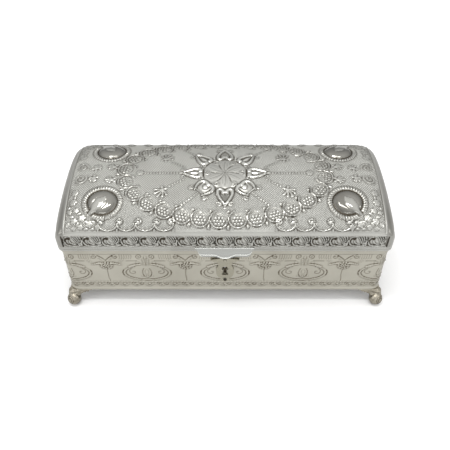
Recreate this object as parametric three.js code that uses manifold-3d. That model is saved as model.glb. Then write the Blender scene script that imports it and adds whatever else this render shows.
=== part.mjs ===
// A silver-plated keepsake box: a vaulted, chased lid on a straight-walled base with four
// ball feet, a keyhole plate and a lifting tab. Sizes are in millimetres, +Z is up and the
// front faces -Y. The origin is on the floor, under the middle of the box.

import * as THREE from 'three';
import { mergeVertices } from 'three/addons/utils/BufferGeometryUtils.js';
import Module from 'manifold-3d';

const wasm = await Module();
wasm.setup();

// Driving sizes of the whole box
const lidLength = 220;
const lidDepth = 85.4;
const lidHeight = 31.5;
const wallHeight = 41.5;
const footHeight = 12.5;
const sheet = 2;
const clear = 0.3;
const overrun = 1;

// Sides and steps of the round forms
const barSides = 12;
const pinSides = 10;
const rivetSides = 8;
const headSides = 14;
const bossSides = 16;
const rosetteSides = 32;
const domeSteps = 4;
const ropeSides = 5;
const ropeSteps = 20;
const ballSides = 14;
const ballRings = 9;
const legSides = 12;
const legSteps = 4;
const cornerSteps = 4;
const channelCornerSteps = 3;
const curveSteps = 6;
const vaultSteps = 16;
const rollSteps = 7;
const ringSides = 8;
const scrollSides = 8;

// Lid: upright walls with a lip and a recessed channel, and a vault that rolls over at the ends
const lidWallHeight = 17.6;
const lidCornerRadius = 5;
const endRollRun = 17;
const endRollDrop = 17;
const vaultPower = 1.88;
const lipHeight = 4.2;
const channelHeight = 10.4;
const channelDepth = 0.9;
const channelCornerRadius = 2;
const channelEndInset = 4.2;
const rosetteRadius = 14.8;
const rosetteRise = 1;
const bossX = 78.7;
const bossY = 25.1;
const bossHalfLength = 9.2;
const bossHalfDepth = 8.4;
const bossRise = 2.6;
const bossRopeRadius = 12;
const ropeThickness = 2.2;
const reliefRoot = 1;
const padRise = 0.6;
const wreathHalfLength = 66;
const wreathHalfDepth = 36.3;
const wreathOffset = 3.8;
const wreathRings = 28;
const ringRadius = 5.4;
const tulips = 8;
const tulipLength = 12.4;
const tulipHalfWidth = 5;
const scallops = 4;
const scallopStartX = 38.6;
const scallopPitch = 11.9;
const scallopHalfWidth = 5.7;
const scallopDrop = 3.1;
const scallopLevel = 4.9;
const scallopReach = 6;
const scrollPitch = 12.2;
const scrollEndGap = 1.7;
const scrollHalfLength = 5;
const scrollHalfHeight = 4.3;
const scrollRise = 0.6;

// Base: straight walls with a plain rim, a chased field and a thin foot moulding
const baseSetback = 0.8;
const baseCornerRadius = 6;
const rimBandHeight = 3.3;
const footBandHeight = 1.6;
const fieldInset = 0.5;
const flangeWidth = 9;
const flangeThickness = 1.4;
const bottomThickness = 1.2;

// Feet: a ball under each corner, a short leg and two bracket wings
const ballRadius = 4.9;
const ballFlat = 0.4;
const ballInsetX = 1.7;
const ballOutsetY = 1.3;
const legTopInset = 4.2;
const legTopRadius = 4.8;
const legFootRadius = 3.6;
const wingRun = 15;
const wingDrop = 7.5;
const wingEdge = 0.8;
const wingThickness = 1.8;
const wingSweepShare = 1 / 3;
const lugRadius = 3.2;
const lugHeight = 5;
const footScrewInset = 8;
const footScrewRadius = 1.2;
const footScrewLength = 7;
const footScrewHeadRadius = 2.6;
const footScrewHeadHeight = 1;

// Hinges at the back
const hingeEndInset = 48;
const hingeWidth = 22;
const hingeSetback = 0.3;
const knuckleRadius = 1.8;
const knuckleWidth = 7;
const hingePinRadius = 0.8;
const pinClearance = 0.1;
const leafThickness = 0.8;
const leafHeight = 13;
const rivetX = 7;
const rivetRadius = 0.9;
const rivetHeadRadius = 1.7;
const rivetHeadHeight = 0.7;
const baseRivetDrop = 8;

// Lifting tab on the lid's front lip
const tabHalfWidth = 19.8;
const tabThickness = 1.4;
const tabTopLevel = 3.6;
const tabDrop = 7.6;

// Keyhole plate and its pins
const plateThickness = 0.9;
const plateHalfWidth = 9.6;
const plateTopDrop = 6.6;
const plateHeight = 25;
const keyDrop = 17.5;
const keyRadius = 2.2;
const keySlotLength = 6.7;
const keySlotTopShare = 0.5;
const platePinRadius = 0.7;
const platePinHeadRadius = 1.2;
const platePinHeadHeight = 0.6;
const platePinInset = 2.4;

// Box lock behind the keyhole
const lockHalfWidth = 13;
const lockTopDrop = 2.5;
const lockHeight = 24;
const lockDepth = 5.7;
const lockSheet = 0.6;
const railThickness = 0.8;
const boltHeight = 5.3;
const boltLength = 7;
const fingerLength = 3.3;
const fingerHeight = 2.2;
const fingerThickness = 1.6;
const talonWidth = 2.4;
const talonDepth = 1.5;
const lockPostRadius = 0.75;
const lockScrewX = 10;
const lockScrewRise = 3.4;
const lockScrewRadius = 0.7;
const lockScrewLength = 3.4;
const lockBossRadius = 1.8;

// Catch under the lid's front wall
const catchHalfWidth = 8;
const catchHeight = 10;
const catchThickness = 1.2;
const loopThickness = 1.6;
const loopWall = 0.8;
const loopFloor = 1.2;

// Velvet linings
const wallLining = 1.7;
const backLining = 2.7;
const floorLining = 2.5;
const lidLining = 1.6;
const liningDrop = 1.5;
const lidLiningLevel = 14.2;

// Levels and half sizes worked out from the sizes above
const halfLength = lidLength / 2;
const halfDepth = lidDepth / 2;
const hingeX = halfLength - hingeEndInset;
const baseHalfLength = halfLength - baseSetback;
const baseHalfDepth = halfDepth - baseSetback;
const split = footHeight + wallHeight;
const lidBottom = split + clear;
const vaultTop = lidHeight - rosetteRise;
const innerHalfLength = baseHalfLength - sheet;
const innerHalfDepth = baseHalfDepth - sheet;
const flangeTop = footHeight + flangeThickness;
const plateBottom = flangeTop + clear;
const plateTop = plateBottom + bottomThickness;
const floorLiningBottom = plateTop + clear;
const floorLiningTop = floorLiningBottom + floorLining;

// Finishes
const lidSilver = { color: 0xd0d0ce, metalness: 0.9, roughness: 0.25 };
const baseSilver = { color: 0xc4c1b8, metalness: 0.9, roughness: 0.3 };
const polishedSilver = { color: 0xdededb, metalness: 0.95, roughness: 0.12 };
const brass = { color: 0xb08d4a, metalness: 0.9, roughness: 0.35 };
const steel = { color: 0x9fa1a4, metalness: 0.9, roughness: 0.35 };
const velvet = { color: 0x1b2450, metalness: 0, roughness: 0.95 };

const box = new THREE.Group();

function solidFrom(geometry) {
  geometry.deleteAttribute('normal');
  geometry.deleteAttribute('uv');
  const welded = mergeVertices(geometry);
  const vertProperties = Float32Array.from(welded.attributes.position.array);
  const triVerts = Uint32Array.from(welded.index.array);
  return new wasm.Manifold(new wasm.Mesh({ numProp: 3, vertProperties, triVerts }));
}

function geometryFrom(solid) {
  const { vertProperties, triVerts } = solid.getMesh();
  const geometry = new THREE.BufferGeometry();
  geometry.setAttribute('position', new THREE.BufferAttribute(vertProperties, 3));
  geometry.setIndex(new THREE.BufferAttribute(triVerts, 1));
  geometry.computeVertexNormals();
  return geometry;
}

function addPiece(name, solid, finish) {
  const mesh = new THREE.Mesh(geometryFrom(solid), new THREE.MeshStandardMaterial(finish));
  mesh.name = name;
  box.add(mesh);
}

// A block between two opposite corners
function block(low, high) {
  const [x0, y0, z0] = low;
  const [x1, y1, z1] = high;
  const geometry = new THREE.BoxGeometry(x1 - x0, y1 - y0, z1 - z0);
  geometry.translate((x0 + x1) / 2, (y0 + y1) / 2, (z0 + z1) / 2);
  return solidFrom(geometry);
}

// A round bar along one axis, from a start point
function bar(axis, radius, length, start, sides = barSides) {
  const geometry = new THREE.CylinderGeometry(radius, radius, length, sides);
  geometry.translate(0, length / 2, 0);
  if (axis === 'x') geometry.rotateZ(-Math.PI / 2);
  if (axis === 'z') geometry.rotateX(Math.PI / 2);
  geometry.translate(...start);
  return solidFrom(geometry);
}

// A turned piece about the Z axis from a profile of [radius, height] points
function turned(profile, sides) {
  const points = profile.map(([radius, height]) => new THREE.Vector2(radius, height));
  const geometry = new THREE.LatheGeometry(points, sides);
  geometry.rotateX(Math.PI / 2);
  return geometry;
}

// An outline drawn in X and Z, cut from sheet whose outer face is at the front level
function cutSheet(shape, thickness, frontLevel) {
  const geometry = new THREE.ExtrudeGeometry(shape, {
    depth: thickness,
    bevelEnabled: false,
    curveSegments: curveSteps,
  });
  geometry.rotateX(Math.PI / 2);
  geometry.translate(0, frontLevel + thickness, 0);
  return solidFrom(geometry);
}

// A closed skin over a row of outlines with as many points each, capped at both ends
function skin(rings) {
  const count = rings[0].length;
  const points = rings.flat();
  const faces = [];
  for (let ring = 0; ring < rings.length - 1; ring += 1) {
    for (let i = 0; i < count; i += 1) {
      const a = ring * count + i;
      const b = ring * count + ((i + 1) % count);
      faces.push(a, b, b + count, a, b + count, a + count);
    }
  }
  const last = (rings.length - 1) * count;
  for (const [start, outline, first, second] of [[0, rings[0], 1, 0], [last, rings.at(-1), 0, 1]]) {
    const middle = new THREE.Vector3();
    outline.forEach((point) => middle.addScaledVector(point, 1 / count));
    points.push(middle);
    for (let i = 0; i < count; i += 1) {
      const pair = [start + i, start + ((i + 1) % count)];
      faces.push(points.length - 1, pair[first], pair[second]);
    }
  }
  const geometry = new THREE.BufferGeometry().setFromPoints(points);
  geometry.setIndex(faces);
  return solidFrom(geometry);
}

// A level outline with round corners
function roundedOutline(halfX, halfY, radius, level) {
  const outline = [];
  for (const [signX, signY, turn] of [[1, -1, -1], [1, 1, 0], [-1, 1, 1], [-1, -1, 2]]) {
    for (let i = 0; i <= cornerSteps; i += 1) {
      const angle = (turn + i / cornerSteps) * (Math.PI / 2);
      const x = signX * (halfX - radius) + radius * Math.cos(angle);
      const y = signY * (halfY - radius) + radius * Math.sin(angle);
      outline.push(new THREE.Vector3(x, y, level));
    }
  }
  return outline;
}

// A slab with round corners between two levels
function slab(halfX, halfY, radius, low, high) {
  return skin([roundedOutline(halfX, halfY, radius, low), roundedOutline(halfX, halfY, radius, high)]);
}

// Height of the vault above its springing, at a distance from the middle
function vaultShape(share) {
  return (1 - Math.abs(share) ** vaultPower) ** (1 / vaultPower);
}

// The lid's form, as upright walls with a vault that rolls over at both ends. The inset shrinks
// all of it evenly, as for the hollow inside.
function vaultForm(inset, low) {
  const length = halfLength - inset;
  const depth = halfDepth - inset;
  const top = vaultTop - inset;
  const run = endRollRun - inset;
  const radius = lidCornerRadius - inset;
  const stations = [];
  for (let i = 0; i <= rollSteps; i += 1) {
    const angle = (i / rollSteps) * (Math.PI / 2);
    stations.push([length - run + run * Math.sin(angle), endRollDrop * (1 - Math.cos(angle))]);
  }
  const row = [...stations.map(([x, drop]) => [-x, drop]).reverse(), ...stations];
  return skin(row.map(([x, drop]) => {
    const past = Math.max(0, (Math.abs(x) - (length - radius)) / radius);
    const half = depth - radius * (1 - Math.sqrt(Math.max(0, 1 - past ** 2)));
    const shrink = (top - drop) / top;
    const spring = lidBottom + lidWallHeight * shrink;
    const rise = (top - lidWallHeight) * shrink;
    const ring = [new THREE.Vector3(x, -half, low), new THREE.Vector3(x, half, low)];
    for (let i = 0; i <= vaultSteps; i += 1) {
      const share = Math.cos((i / vaultSteps) * Math.PI);
      ring.push(new THREE.Vector3(x, half * share, spring + rise * vaultShape(share)));
    }
    return ring;
  }));
}

// A dome with a root that sinks into the sheet, at the origin
function dome(halfX, halfY, rise, sides) {
  const profile = [[0, -reliefRoot], [1, -reliefRoot], [1, 0]];
  for (let i = 1; i < domeSteps; i += 1) {
    const angle = (i / domeSteps) * (Math.PI / 2);
    profile.push([Math.cos(angle), rise * Math.sin(angle)]);
  }
  profile.push([0, rise]);
  const geometry = turned(profile, sides);
  geometry.scale(halfX, halfY, 1);
  return geometry;
}

// A groove with rounded corners, as a bar along X whose outer face is past the wall's face
function grooveBar(half, level) {
  const high = channelHeight / 2;
  const radius = channelCornerRadius;
  const shape = new THREE.Shape();
  shape.absarc(half - radius, radius - high, radius, -Math.PI / 2, 0);
  shape.absarc(half - radius, high - radius, radius, 0, Math.PI / 2);
  shape.absarc(radius - half, high - radius, radius, Math.PI / 2, Math.PI);
  shape.absarc(radius - half, radius - high, radius, Math.PI, (3 * Math.PI) / 2);
  const geometry = new THREE.ExtrudeGeometry(shape, {
    depth: channelDepth + overrun,
    bevelEnabled: false,
    curveSegments: channelCornerSteps,
  });
  geometry.rotateX(Math.PI / 2);
  geometry.translate(0, channelDepth, level);
  return geometry;
}

// Hinge levels and places that the shells and the leaves share
const hingeY = halfDepth + hingeSetback;
const hingeZ = split + clear / 2;
const knuckleGap = (hingeWidth - 2 * knuckleWidth) / 2;
const lidLeafY = halfDepth - sheet - clear;
const baseLeafY = innerHalfDepth - clear;
const lidRivetLevel = lidBottom + lipHeight + channelHeight / 2;
const baseRivetLevel = split - baseRivetDrop;

// What a shell loses at one hinge: the round of the knuckles, the strap's slot, the rivet holes
function hingeRelief(x, slotLow, slotHigh, rivetLevel) {
  const half = hingeWidth / 2 + clear;
  let cut = bar('x', knuckleRadius + clear, 2 * half, [x - half, hingeY, hingeZ]);
  cut = cut.add(block([x - half, innerHalfDepth - overrun, slotLow], [x + half, hingeY, slotHigh]));
  for (const side of [-1, 1]) {
    const start = [x + side * rivetX, innerHalfDepth - overrun, rivetLevel];
    cut = cut.add(bar('y', rivetRadius + clear, halfDepth - innerHalfDepth + 2 * overrun, start));
  }
  return cut;
}

// The hanging scallops along one long side, as half ovals cut towards the vault's foot
function scallopRow() {
  const row = [];
  for (let i = 0; i < scallops; i += 1) {
    for (const side of [-1, 1]) {
      const x = side * (scallopStartX + i * scallopPitch);
      const level = lidBottom + lidWallHeight + scallopLevel;
      const shape = new THREE.Shape();
      shape.absellipse(x, level, scallopHalfWidth, scallopDrop, Math.PI, 2 * Math.PI);
      shape.closePath();
      row.push(cutSheet(shape, scallopReach + overrun, -halfDepth - overrun));
    }
  }
  return row;
}

// The wreath's rings, the tulips round the rosette and the scallops, as low pads on the vault
function vaultPads() {
  const low = lidBottom + lidWallHeight;
  const height = vaultTop - lidWallHeight + padRise + overrun;
  const start = -Math.PI / 2 - wreathOffset / wreathHalfLength;
  const oval = new THREE.EllipseCurve(0, 0, wreathHalfLength, wreathHalfDepth, start, start + 2 * Math.PI);
  const places = oval.getSpacedPoints(wreathRings).slice(1);
  const pads = places.map(({ x, y }) => bar('z', ringRadius, height, [x, y, low], ringSides));
  const edgeShares = [[0.35, 1], [0.7, 0.85]];
  const at = (along, across) => [rosetteRadius + along * tulipLength, across * tulipHalfWidth];
  const edge = edgeShares.map((shares) => at(...shares));
  const outline = [
    [rosetteRadius - reliefRoot, 0],
    ...edge.map(([x, y]) => [x, -y]),
    at(1, 0),
    ...edge.reverse(),
  ];
  const shape = new THREE.Shape(outline.map(([x, y]) => new THREE.Vector2(x, y)));
  for (let i = 0; i < tulips; i += 1) {
    const tulip = new THREE.ExtrudeGeometry(shape, { depth: height, bevelEnabled: false });
    tulip.rotateZ((i / tulips) * 2 * Math.PI);
    tulip.translate(0, 0, low);
    pads.push(solidFrom(tulip));
  }
  for (const turn of [0, 180]) {
    pads.push(...scallopRow().map((scallop) => scallop.rotate([0, 0, turn])));
  }
  return vaultForm(-padRise, lidBottom).intersect(pads.reduce((all, pad) => all.add(pad)));
}

// The waves of the running scroll, as studs in one channel that stay under the wall's face. The
// back channel has none where the hinges' rivet heads are.
function channelStuds(half, across, turn, level) {
  const run = 2 * (half - channelEndInset - scrollEndGap);
  const count = Math.round(run / scrollPitch);
  const length = channelDepth + sheet + overrun;
  const studs = [];
  for (let i = 0; i < count; i += 1) {
    const x = ((i + 1 / 2) / count - 1 / 2) * run;
    const nearHinge = Math.abs(Math.abs(x) - hingeX) < hingeWidth / 2 + scrollHalfLength;
    if (turn !== 2 || !nearHinge) {
      const stud = new THREE.CylinderGeometry(1, 1, length, scrollSides);
      stud.scale(scrollHalfLength, 1, scrollHalfHeight);
      stud.translate(x, length / 2 - across, level);
      stud.rotateZ((turn * Math.PI) / 2);
      studs.push(solidFrom(stud));
    }
  }
  const face = vaultForm(channelDepth - scrollRise, lidBottom);
  return face.intersect(studs.reduce((all, stud) => all.add(stud)));
}

// Lid shell with its channels, corner bosses, rosette and the main forms of its relief
function lidShell() {
  let shell = vaultForm(0, lidBottom);
  const slope = (vaultTop - lidWallHeight) / halfDepth;
  const share = bossY / halfDepth;
  const lean = Math.atan(slope * share ** (vaultPower - 1) * vaultShape(share) ** (1 - vaultPower));
  const bossZ = lidBottom + lidWallHeight + (vaultTop - lidWallHeight) * vaultShape(share);
  for (const signX of [-1, 1]) {
    for (const signY of [-1, 1]) {
      const boss = dome(bossHalfLength, bossHalfDepth, bossRise, bossSides);
      const rope = new THREE.TorusGeometry(bossRopeRadius, ropeThickness / 2, ropeSides, ropeSteps);
      for (const form of [boss, rope]) {
        form.rotateX(-signY * lean);
        form.translate(signX * bossX, signY * bossY, bossZ);
        shell = shell.add(solidFrom(form));
      }
    }
  }
  const rosette = dome(rosetteRadius, rosetteRadius, rosetteRise, rosetteSides);
  rosette.translate(0, 0, lidBottom + vaultTop);
  shell = shell.add(solidFrom(rosette)).add(vaultPads());
  const channelLevel = lidBottom + lipHeight + channelHeight / 2;
  for (const turn of [0, 1, 2, 3]) {
    const half = turn % 2 === 0 ? halfLength : halfDepth;
    const across = turn % 2 === 0 ? halfDepth : halfLength;
    const groove = grooveBar(half - channelEndInset, channelLevel);
    groove.translate(0, -across, 0);
    groove.rotateZ((turn * Math.PI) / 2);
    shell = shell.subtract(solidFrom(groove)).add(channelStuds(half, across, turn, channelLevel));
  }
  shell = shell.subtract(vaultForm(sheet, lidBottom - overrun));
  for (const side of [-1, 1]) {
    const slotTop = lidBottom + leafThickness + clear;
    shell = shell.subtract(hingeRelief(side * hingeX, lidBottom - overrun, slotTop, lidRivetLevel));
  }
  return shell;
}

// Half of an outline's curves, as pairs of a guide point and an end point after the first point
function curveAlong(shape, points) {
  for (let i = 1; i < points.length; i += 2) {
    shape.quadraticCurveTo(...points[i], ...points[i + 1]);
  }
}

// Lifting tab: a scalloped plate soldered to the lip, with a deeper lobe in the middle
function thumbTab() {
  const shoulderShares = [[1, 0.86], [0.98, 0.5], [0.85, 0.42], [0.62, 0.46], [0.44, 0.26]];
  const lobeShares = [[0.38, 0.18], [0.36, 0.02]];
  const lobeDipShare = 0.04;
  const top = lidBottom + tabTopLevel;
  const drop = tabTopLevel + tabDrop;
  const at = (across, up) => [across * tabHalfWidth, top - drop * (1 - up)];
  const edgeShares = [...shoulderShares, ...lobeShares];
  const right = edgeShares.map(([across, up]) => at(across, up));
  const left = edgeShares.map(([across, up]) => at(-across, up)).reverse();
  const shape = new THREE.Shape();
  shape.moveTo(-tabHalfWidth, top);
  shape.lineTo(tabHalfWidth, top);
  shape.lineTo(...right[0]);
  curveAlong(shape, right);
  shape.quadraticCurveTo(...at(0, -lobeDipShare), ...left[0]);
  curveAlong(shape, left);
  shape.closePath();
  return cutSheet(shape, tabThickness, -halfDepth - clear - tabThickness);
}

// One half of a hinge: a strap through the rim, a plate inside the wall and its knuckles. Side is
// 1 for the lid's half, which has the middle knuckle, and -1 for the base's half.
function hingeLeaf(x, side, plateY, stripLevel, rivetLevel) {
  const half = hingeWidth / 2;
  const plateEnd = stripLevel + side * leafHeight;
  const stripEnd = stripLevel + side * leafThickness;
  const levels = (first, second) => [Math.min(first, second), Math.max(first, second)];
  const [plateLow, plateHigh] = levels(stripLevel, plateEnd);
  const [stripLow, stripHigh] = levels(stripLevel, stripEnd);
  let leaf = block([x - half, plateY - leafThickness, plateLow], [x + half, plateY, plateHigh]);
  leaf = leaf.add(block([x - half, plateY - leafThickness, stripLow], [x + half, hingeY, stripHigh]));
  const endWidth = knuckleWidth - clear / 2;
  const middle = [x - knuckleGap + clear / 2, 2 * knuckleGap - clear];
  const outer = [[x - half, endWidth], [x + half - endWidth, endWidth]];
  const own = side > 0 ? [middle] : outer;
  const other = side > 0 ? outer : [middle];
  for (const [start, width] of other) {
    const from = [start - clear / 2, hingeY, hingeZ];
    leaf = leaf.subtract(bar('x', knuckleRadius + clear, width + clear, from));
  }
  for (const [start, width] of own) {
    leaf = leaf.add(bar('x', knuckleRadius, width, [start, hingeY, hingeZ]));
  }
  const boreStart = [x - half - overrun, hingeY, hingeZ];
  leaf = leaf.subtract(bar('x', hingePinRadius + pinClearance, hingeWidth + 2 * overrun, boreStart));
  for (const place of [-1, 1]) {
    const start = [x + place * rivetX, plateY - leafThickness - overrun, rivetLevel];
    leaf = leaf.subtract(bar('y', rivetRadius + clear, leafThickness + 2 * overrun, start));
  }
  return leaf;
}

// A rivet along Y: a flat head inside the leaf and a low dome outside the wall
function hingeRivet(x, level, leafY, wallY) {
  const grip = wallY - leafY + leafThickness + 2 * clear;
  const start = rivetHeadHeight;
  const profile = [
    [0, 0],
    [rivetHeadRadius, 0],
    [rivetHeadRadius, start],
    [rivetRadius, start],
    [rivetRadius, start + grip],
    [rivetHeadRadius, start + grip],
    [rivetHeadRadius * Math.SQRT1_2, start + grip + rivetHeadHeight * Math.SQRT1_2],
    [0, start + grip + rivetHeadHeight],
  ];
  const geometry = turned(profile, rivetSides);
  geometry.rotateX(-Math.PI / 2);
  geometry.translate(x, leafY - leafThickness - clear - rivetHeadHeight, level);
  return solidFrom(geometry);
}

// Places on the front wall, below the split
const keyLevel = split - keyDrop;
const plateHigh = split - plateTopDrop;
const plateLow = plateHigh - plateHeight;
const fieldFront = -(baseHalfDepth - fieldInset);
const plateFront = fieldFront - clear - plateThickness;
const platePinLevels = [plateHigh - platePinInset, plateLow + platePinInset];

// The keyhole as a bar along Y: a round hole over a flared slot
function keyhole(start, length, margin) {
  const slot = new THREE.Shape();
  const slotTop = keyRadius * keySlotTopShare + margin;
  slot.moveTo(-slotTop, keyLevel);
  slot.lineTo(-keyRadius - margin, keyLevel - keySlotLength - margin);
  slot.lineTo(keyRadius + margin, keyLevel - keySlotLength - margin);
  slot.lineTo(slotTop, keyLevel);
  slot.closePath();
  return bar('y', keyRadius + margin, length, [0, start, keyLevel]).add(cutSheet(slot, length, start));
}

// Base shell: walls with an inward flange at the foot, cut for hinges, keyhole and plate pins
function baseShell() {
  const round = baseCornerRadius;
  const ring = (inset, level) => {
    const [halfX, halfY] = [baseHalfLength - inset, baseHalfDepth - inset];
    return roundedOutline(halfX, halfY, round - inset, level);
  };
  let shell = skin([
    ring(0, footHeight),
    ring(0, footHeight + footBandHeight),
    ring(fieldInset, footHeight + footBandHeight + fieldInset),
    ring(fieldInset, split - rimBandHeight - fieldInset),
    ring(0, split - rimBandHeight),
    ring(0, split),
  ]);
  shell = shell.subtract(slab(innerHalfLength, innerHalfDepth, round - sheet, flangeTop, split + overrun));
  const openX = innerHalfLength - flangeWidth;
  const openY = innerHalfDepth - flangeWidth;
  shell = shell.subtract(slab(openX, openY, round - sheet, footHeight - overrun, flangeTop + overrun));
  for (const [x, y] of footScrewPlaces) {
    const start = [x, y, footHeight - overrun];
    shell = shell.subtract(bar('z', footScrewRadius + clear, flangeThickness + 2 * overrun, start));
  }
  for (const side of [-1, 1]) {
    const slotLow = split - leafThickness - clear;
    shell = shell.subtract(hingeRelief(side * hingeX, slotLow, split + overrun, baseRivetLevel));
  }
  shell = shell.subtract(keyhole(-baseHalfDepth - overrun, sheet + 2 * overrun, 0));
  for (const level of platePinLevels) {
    const start = [0, -baseHalfDepth - overrun, level];
    shell = shell.subtract(bar('y', platePinRadius + clear, sheet + 2 * overrun, start, pinSides));
  }
  return shell;
}

// Keyhole plate with a flared head, a waist and a rounded foot
function keyholePlate() {
  const footShares = [[0, 0], [0.3, 0.01], [0.34, 0.14]];
  const waistShares = [[0.74, 0.3], [0.6, 0.56], [0.34, 0.74], [0.62, 0.84]];
  const headShares = [[1, 0.86], [1, 0.93], [0.6, 0.96], [0, 1]];
  const at = (across, up) => [across * plateHalfWidth, plateLow + up * plateHeight];
  const edgeShares = [...footShares, ...waistShares, ...headShares];
  const shape = new THREE.Shape();
  shape.moveTo(...at(...footShares[0]));
  curveAlong(shape, edgeShares.map(([across, up]) => at(across, up)));
  curveAlong(shape, edgeShares.map(([across, up]) => at(-across, up)).reverse());
  let plate = cutSheet(shape, plateThickness, plateFront);
  plate = plate.subtract(keyhole(plateFront - overrun, plateThickness + 2 * overrun, 0));
  for (const level of platePinLevels) {
    const start = [0, plateFront - overrun, level];
    const length = plateThickness + 2 * overrun;
    plate = plate.subtract(bar('y', platePinRadius + clear, length, start, pinSides));
  }
  return plate;
}

// A plate pin: a shank through the wall with a round head in front
function platePin(level) {
  const shank = plateThickness + clear + sheet;
  const profile = [
    [0, -platePinHeadHeight],
    [platePinHeadRadius * Math.SQRT1_2, -platePinHeadHeight * Math.SQRT1_2],
    [platePinHeadRadius, 0],
    [platePinRadius, 0],
    [platePinRadius, shank],
    [0, shank],
  ];
  const geometry = turned(profile, pinSides);
  geometry.rotateX(-Math.PI / 2);
  geometry.translate(0, plateFront - clear, level);
  return solidFrom(geometry);
}

// A foot: the ball, the leg that leans out to it, two bracket wings and the screw's lug
const footTop = footHeight - clear;
const ballX = baseHalfLength - ballInsetX;
const ballY = baseHalfDepth + ballOutsetY;
const ballLevel = ballRadius - ballFlat;
const footScrewPlaces = [-1, 1].flatMap((signX) => [-1, 1].map((signY) => [
  signX * (baseHalfLength - footScrewInset),
  signY * (baseHalfDepth - footScrewInset),
]));
const lugBottom = footTop - lugHeight;

function bracketWing(run) {
  const shape = new THREE.Shape();
  shape.moveTo(0, footTop);
  shape.lineTo(0, footTop - wingDrop);
  shape.quadraticCurveTo(run * wingSweepShare, footTop - wingEdge, run, footTop - wingEdge);
  shape.lineTo(run, footTop);
  shape.closePath();
  return cutSheet(shape, wingThickness, 0);
}

function foot(signX, signY) {
  const sphere = new THREE.SphereGeometry(ballRadius, ballSides, ballRings);
  sphere.rotateX(Math.PI / 2);
  sphere.translate(ballX, ballY, ballLevel);
  let form = solidFrom(sphere);
  const legRings = [];
  for (let i = 0; i <= legSteps; i += 1) {
    const down = i / legSteps;
    const sweep = down ** 2;
    const centreX = THREE.MathUtils.lerp(baseHalfLength - legTopInset, ballX, sweep);
    const centreY = THREE.MathUtils.lerp(baseHalfDepth - legTopInset, ballY, sweep);
    const radius = THREE.MathUtils.lerp(legTopRadius, legFootRadius, down);
    const level = THREE.MathUtils.lerp(footTop, ballLevel, down);
    const ring = [];
    for (let j = 0; j < legSides; j += 1) {
      const angle = (j / legSides) * 2 * Math.PI;
      const x = centreX + radius * Math.cos(angle);
      const y = centreY + radius * Math.sin(angle);
      ring.push(new THREE.Vector3(x, y, level));
    }
    legRings.unshift(ring);
  }
  form = form.add(skin(legRings));
  const wingStartX = baseHalfLength - legTopInset;
  const wingStartY = baseHalfDepth - legTopInset;
  const wingX = bracketWing(wingRun - legTopInset).rotate([0, 0, 180]);
  form = form.add(wingX.translate([wingStartX, baseHalfDepth, 0]));
  const wingY = bracketWing(wingRun - legTopInset).rotate([0, 0, -90]);
  form = form.add(wingY.translate([baseHalfLength - wingThickness, wingStartY, 0]));
  const [lugX, lugY] = [baseHalfLength - footScrewInset, baseHalfDepth - footScrewInset];
  form = form.add(bar('z', lugRadius, lugHeight, [lugX, lugY, lugBottom], headSides));
  const holeBottom = lugBottom + 2 * clear;
  form = form.subtract(bar('z', footScrewRadius + clear, lugHeight + overrun, [lugX, lugY, holeBottom]));
  const under = block([0, 0, -ballRadius], [halfLength + ballRadius, halfDepth + 2 * ballRadius, 0]);
  form = form.subtract(under);
  const flipX = signX < 0;
  const flipY = signY < 0;
  if (flipX) form = form.mirror([1, 0, 0]);
  if (flipY) form = form.mirror([0, 1, 0]);
  return form;
}

function footScrew(x, y) {
  const headBottom = plateTop + clear;
  const start = [x, y, headBottom - footScrewLength];
  const shank = bar('z', footScrewRadius, footScrewLength, start, pinSides);
  return shank.add(bar('z', footScrewHeadRadius, footScrewHeadHeight, [x, y, headBottom], headSides));
}

// Bottom plate on the flange
function bottomPlate() {
  const halfX = innerHalfLength - clear;
  const halfY = innerHalfDepth - clear;
  let plate = slab(halfX, halfY, baseCornerRadius - sheet, plateBottom, plateTop);
  for (const [x, y] of footScrewPlaces) {
    const start = [x, y, plateBottom - overrun];
    plate = plate.subtract(bar('z', footScrewRadius + clear, bottomThickness + 2 * overrun, start));
  }
  return plate;
}

// Linings: a floor pad over the screw heads, and cards round the walls
function floorPad() {
  const halfX = innerHalfLength - clear;
  const halfY = innerHalfDepth - clear;
  let pad = slab(halfX, halfY, baseCornerRadius - sheet, floorLiningBottom, floorLiningTop);
  for (const [x, y] of footScrewPlaces) {
    const start = [x, y, floorLiningBottom - overrun];
    const pocket = overrun + footScrewHeadHeight + clear;
    pad = pad.subtract(bar('z', footScrewHeadRadius + clear, pocket, start));
  }
  return pad;
}

const cardLow = floorLiningTop + clear;
const cardHigh = split - liningDrop;
const cardHalfLength = innerHalfLength - baseCornerRadius + sheet;
const frontCardInside = -(innerHalfDepth - clear - wallLining);
const backCardInside = innerHalfDepth - clear - backLining;

// Lock levels and faces, worked out from the front wall and the split
const lockHigh = split - lockTopDrop;
const lockLow = lockHigh - lockHeight;
const lockFront = -(innerHalfDepth - clear);
const lockBack = lockFront + lockDepth;
const lockInside = lockFront + lockSheet;
const lockRoof = lockHigh - lockSheet;
const coverFront = lockBack + clear;
const boltHigh = lockRoof - clear;
const boltLow = boltHigh - boltHeight;
const fingerLow = boltLow + (boltHeight - fingerHeight) / 2;
const loopHalf = loopThickness / 2;
const fingerTip = -loopHalf - clear;
const boltRight = fingerTip - fingerLength;
const boltFront = lockInside + clear;
const boltBack = lockBack;
const fingerFront = (boltFront + boltBack - fingerThickness) / 2;
const windowFront = fingerFront - clear;
const windowBack = fingerFront + fingerThickness + clear;
const windowLow = fingerLow - clear;
const windowHigh = fingerLow + fingerHeight + clear;

function frontCard() {
  const low = [-cardHalfLength, lockFront, cardLow];
  const card = block(low, [cardHalfLength, frontCardInside, cardHigh]);
  const half = lockHalfWidth + clear;
  return card.subtract(block([-half, lockFront - overrun, lockLow - clear], [half, lockBack, split]));
}

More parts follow.
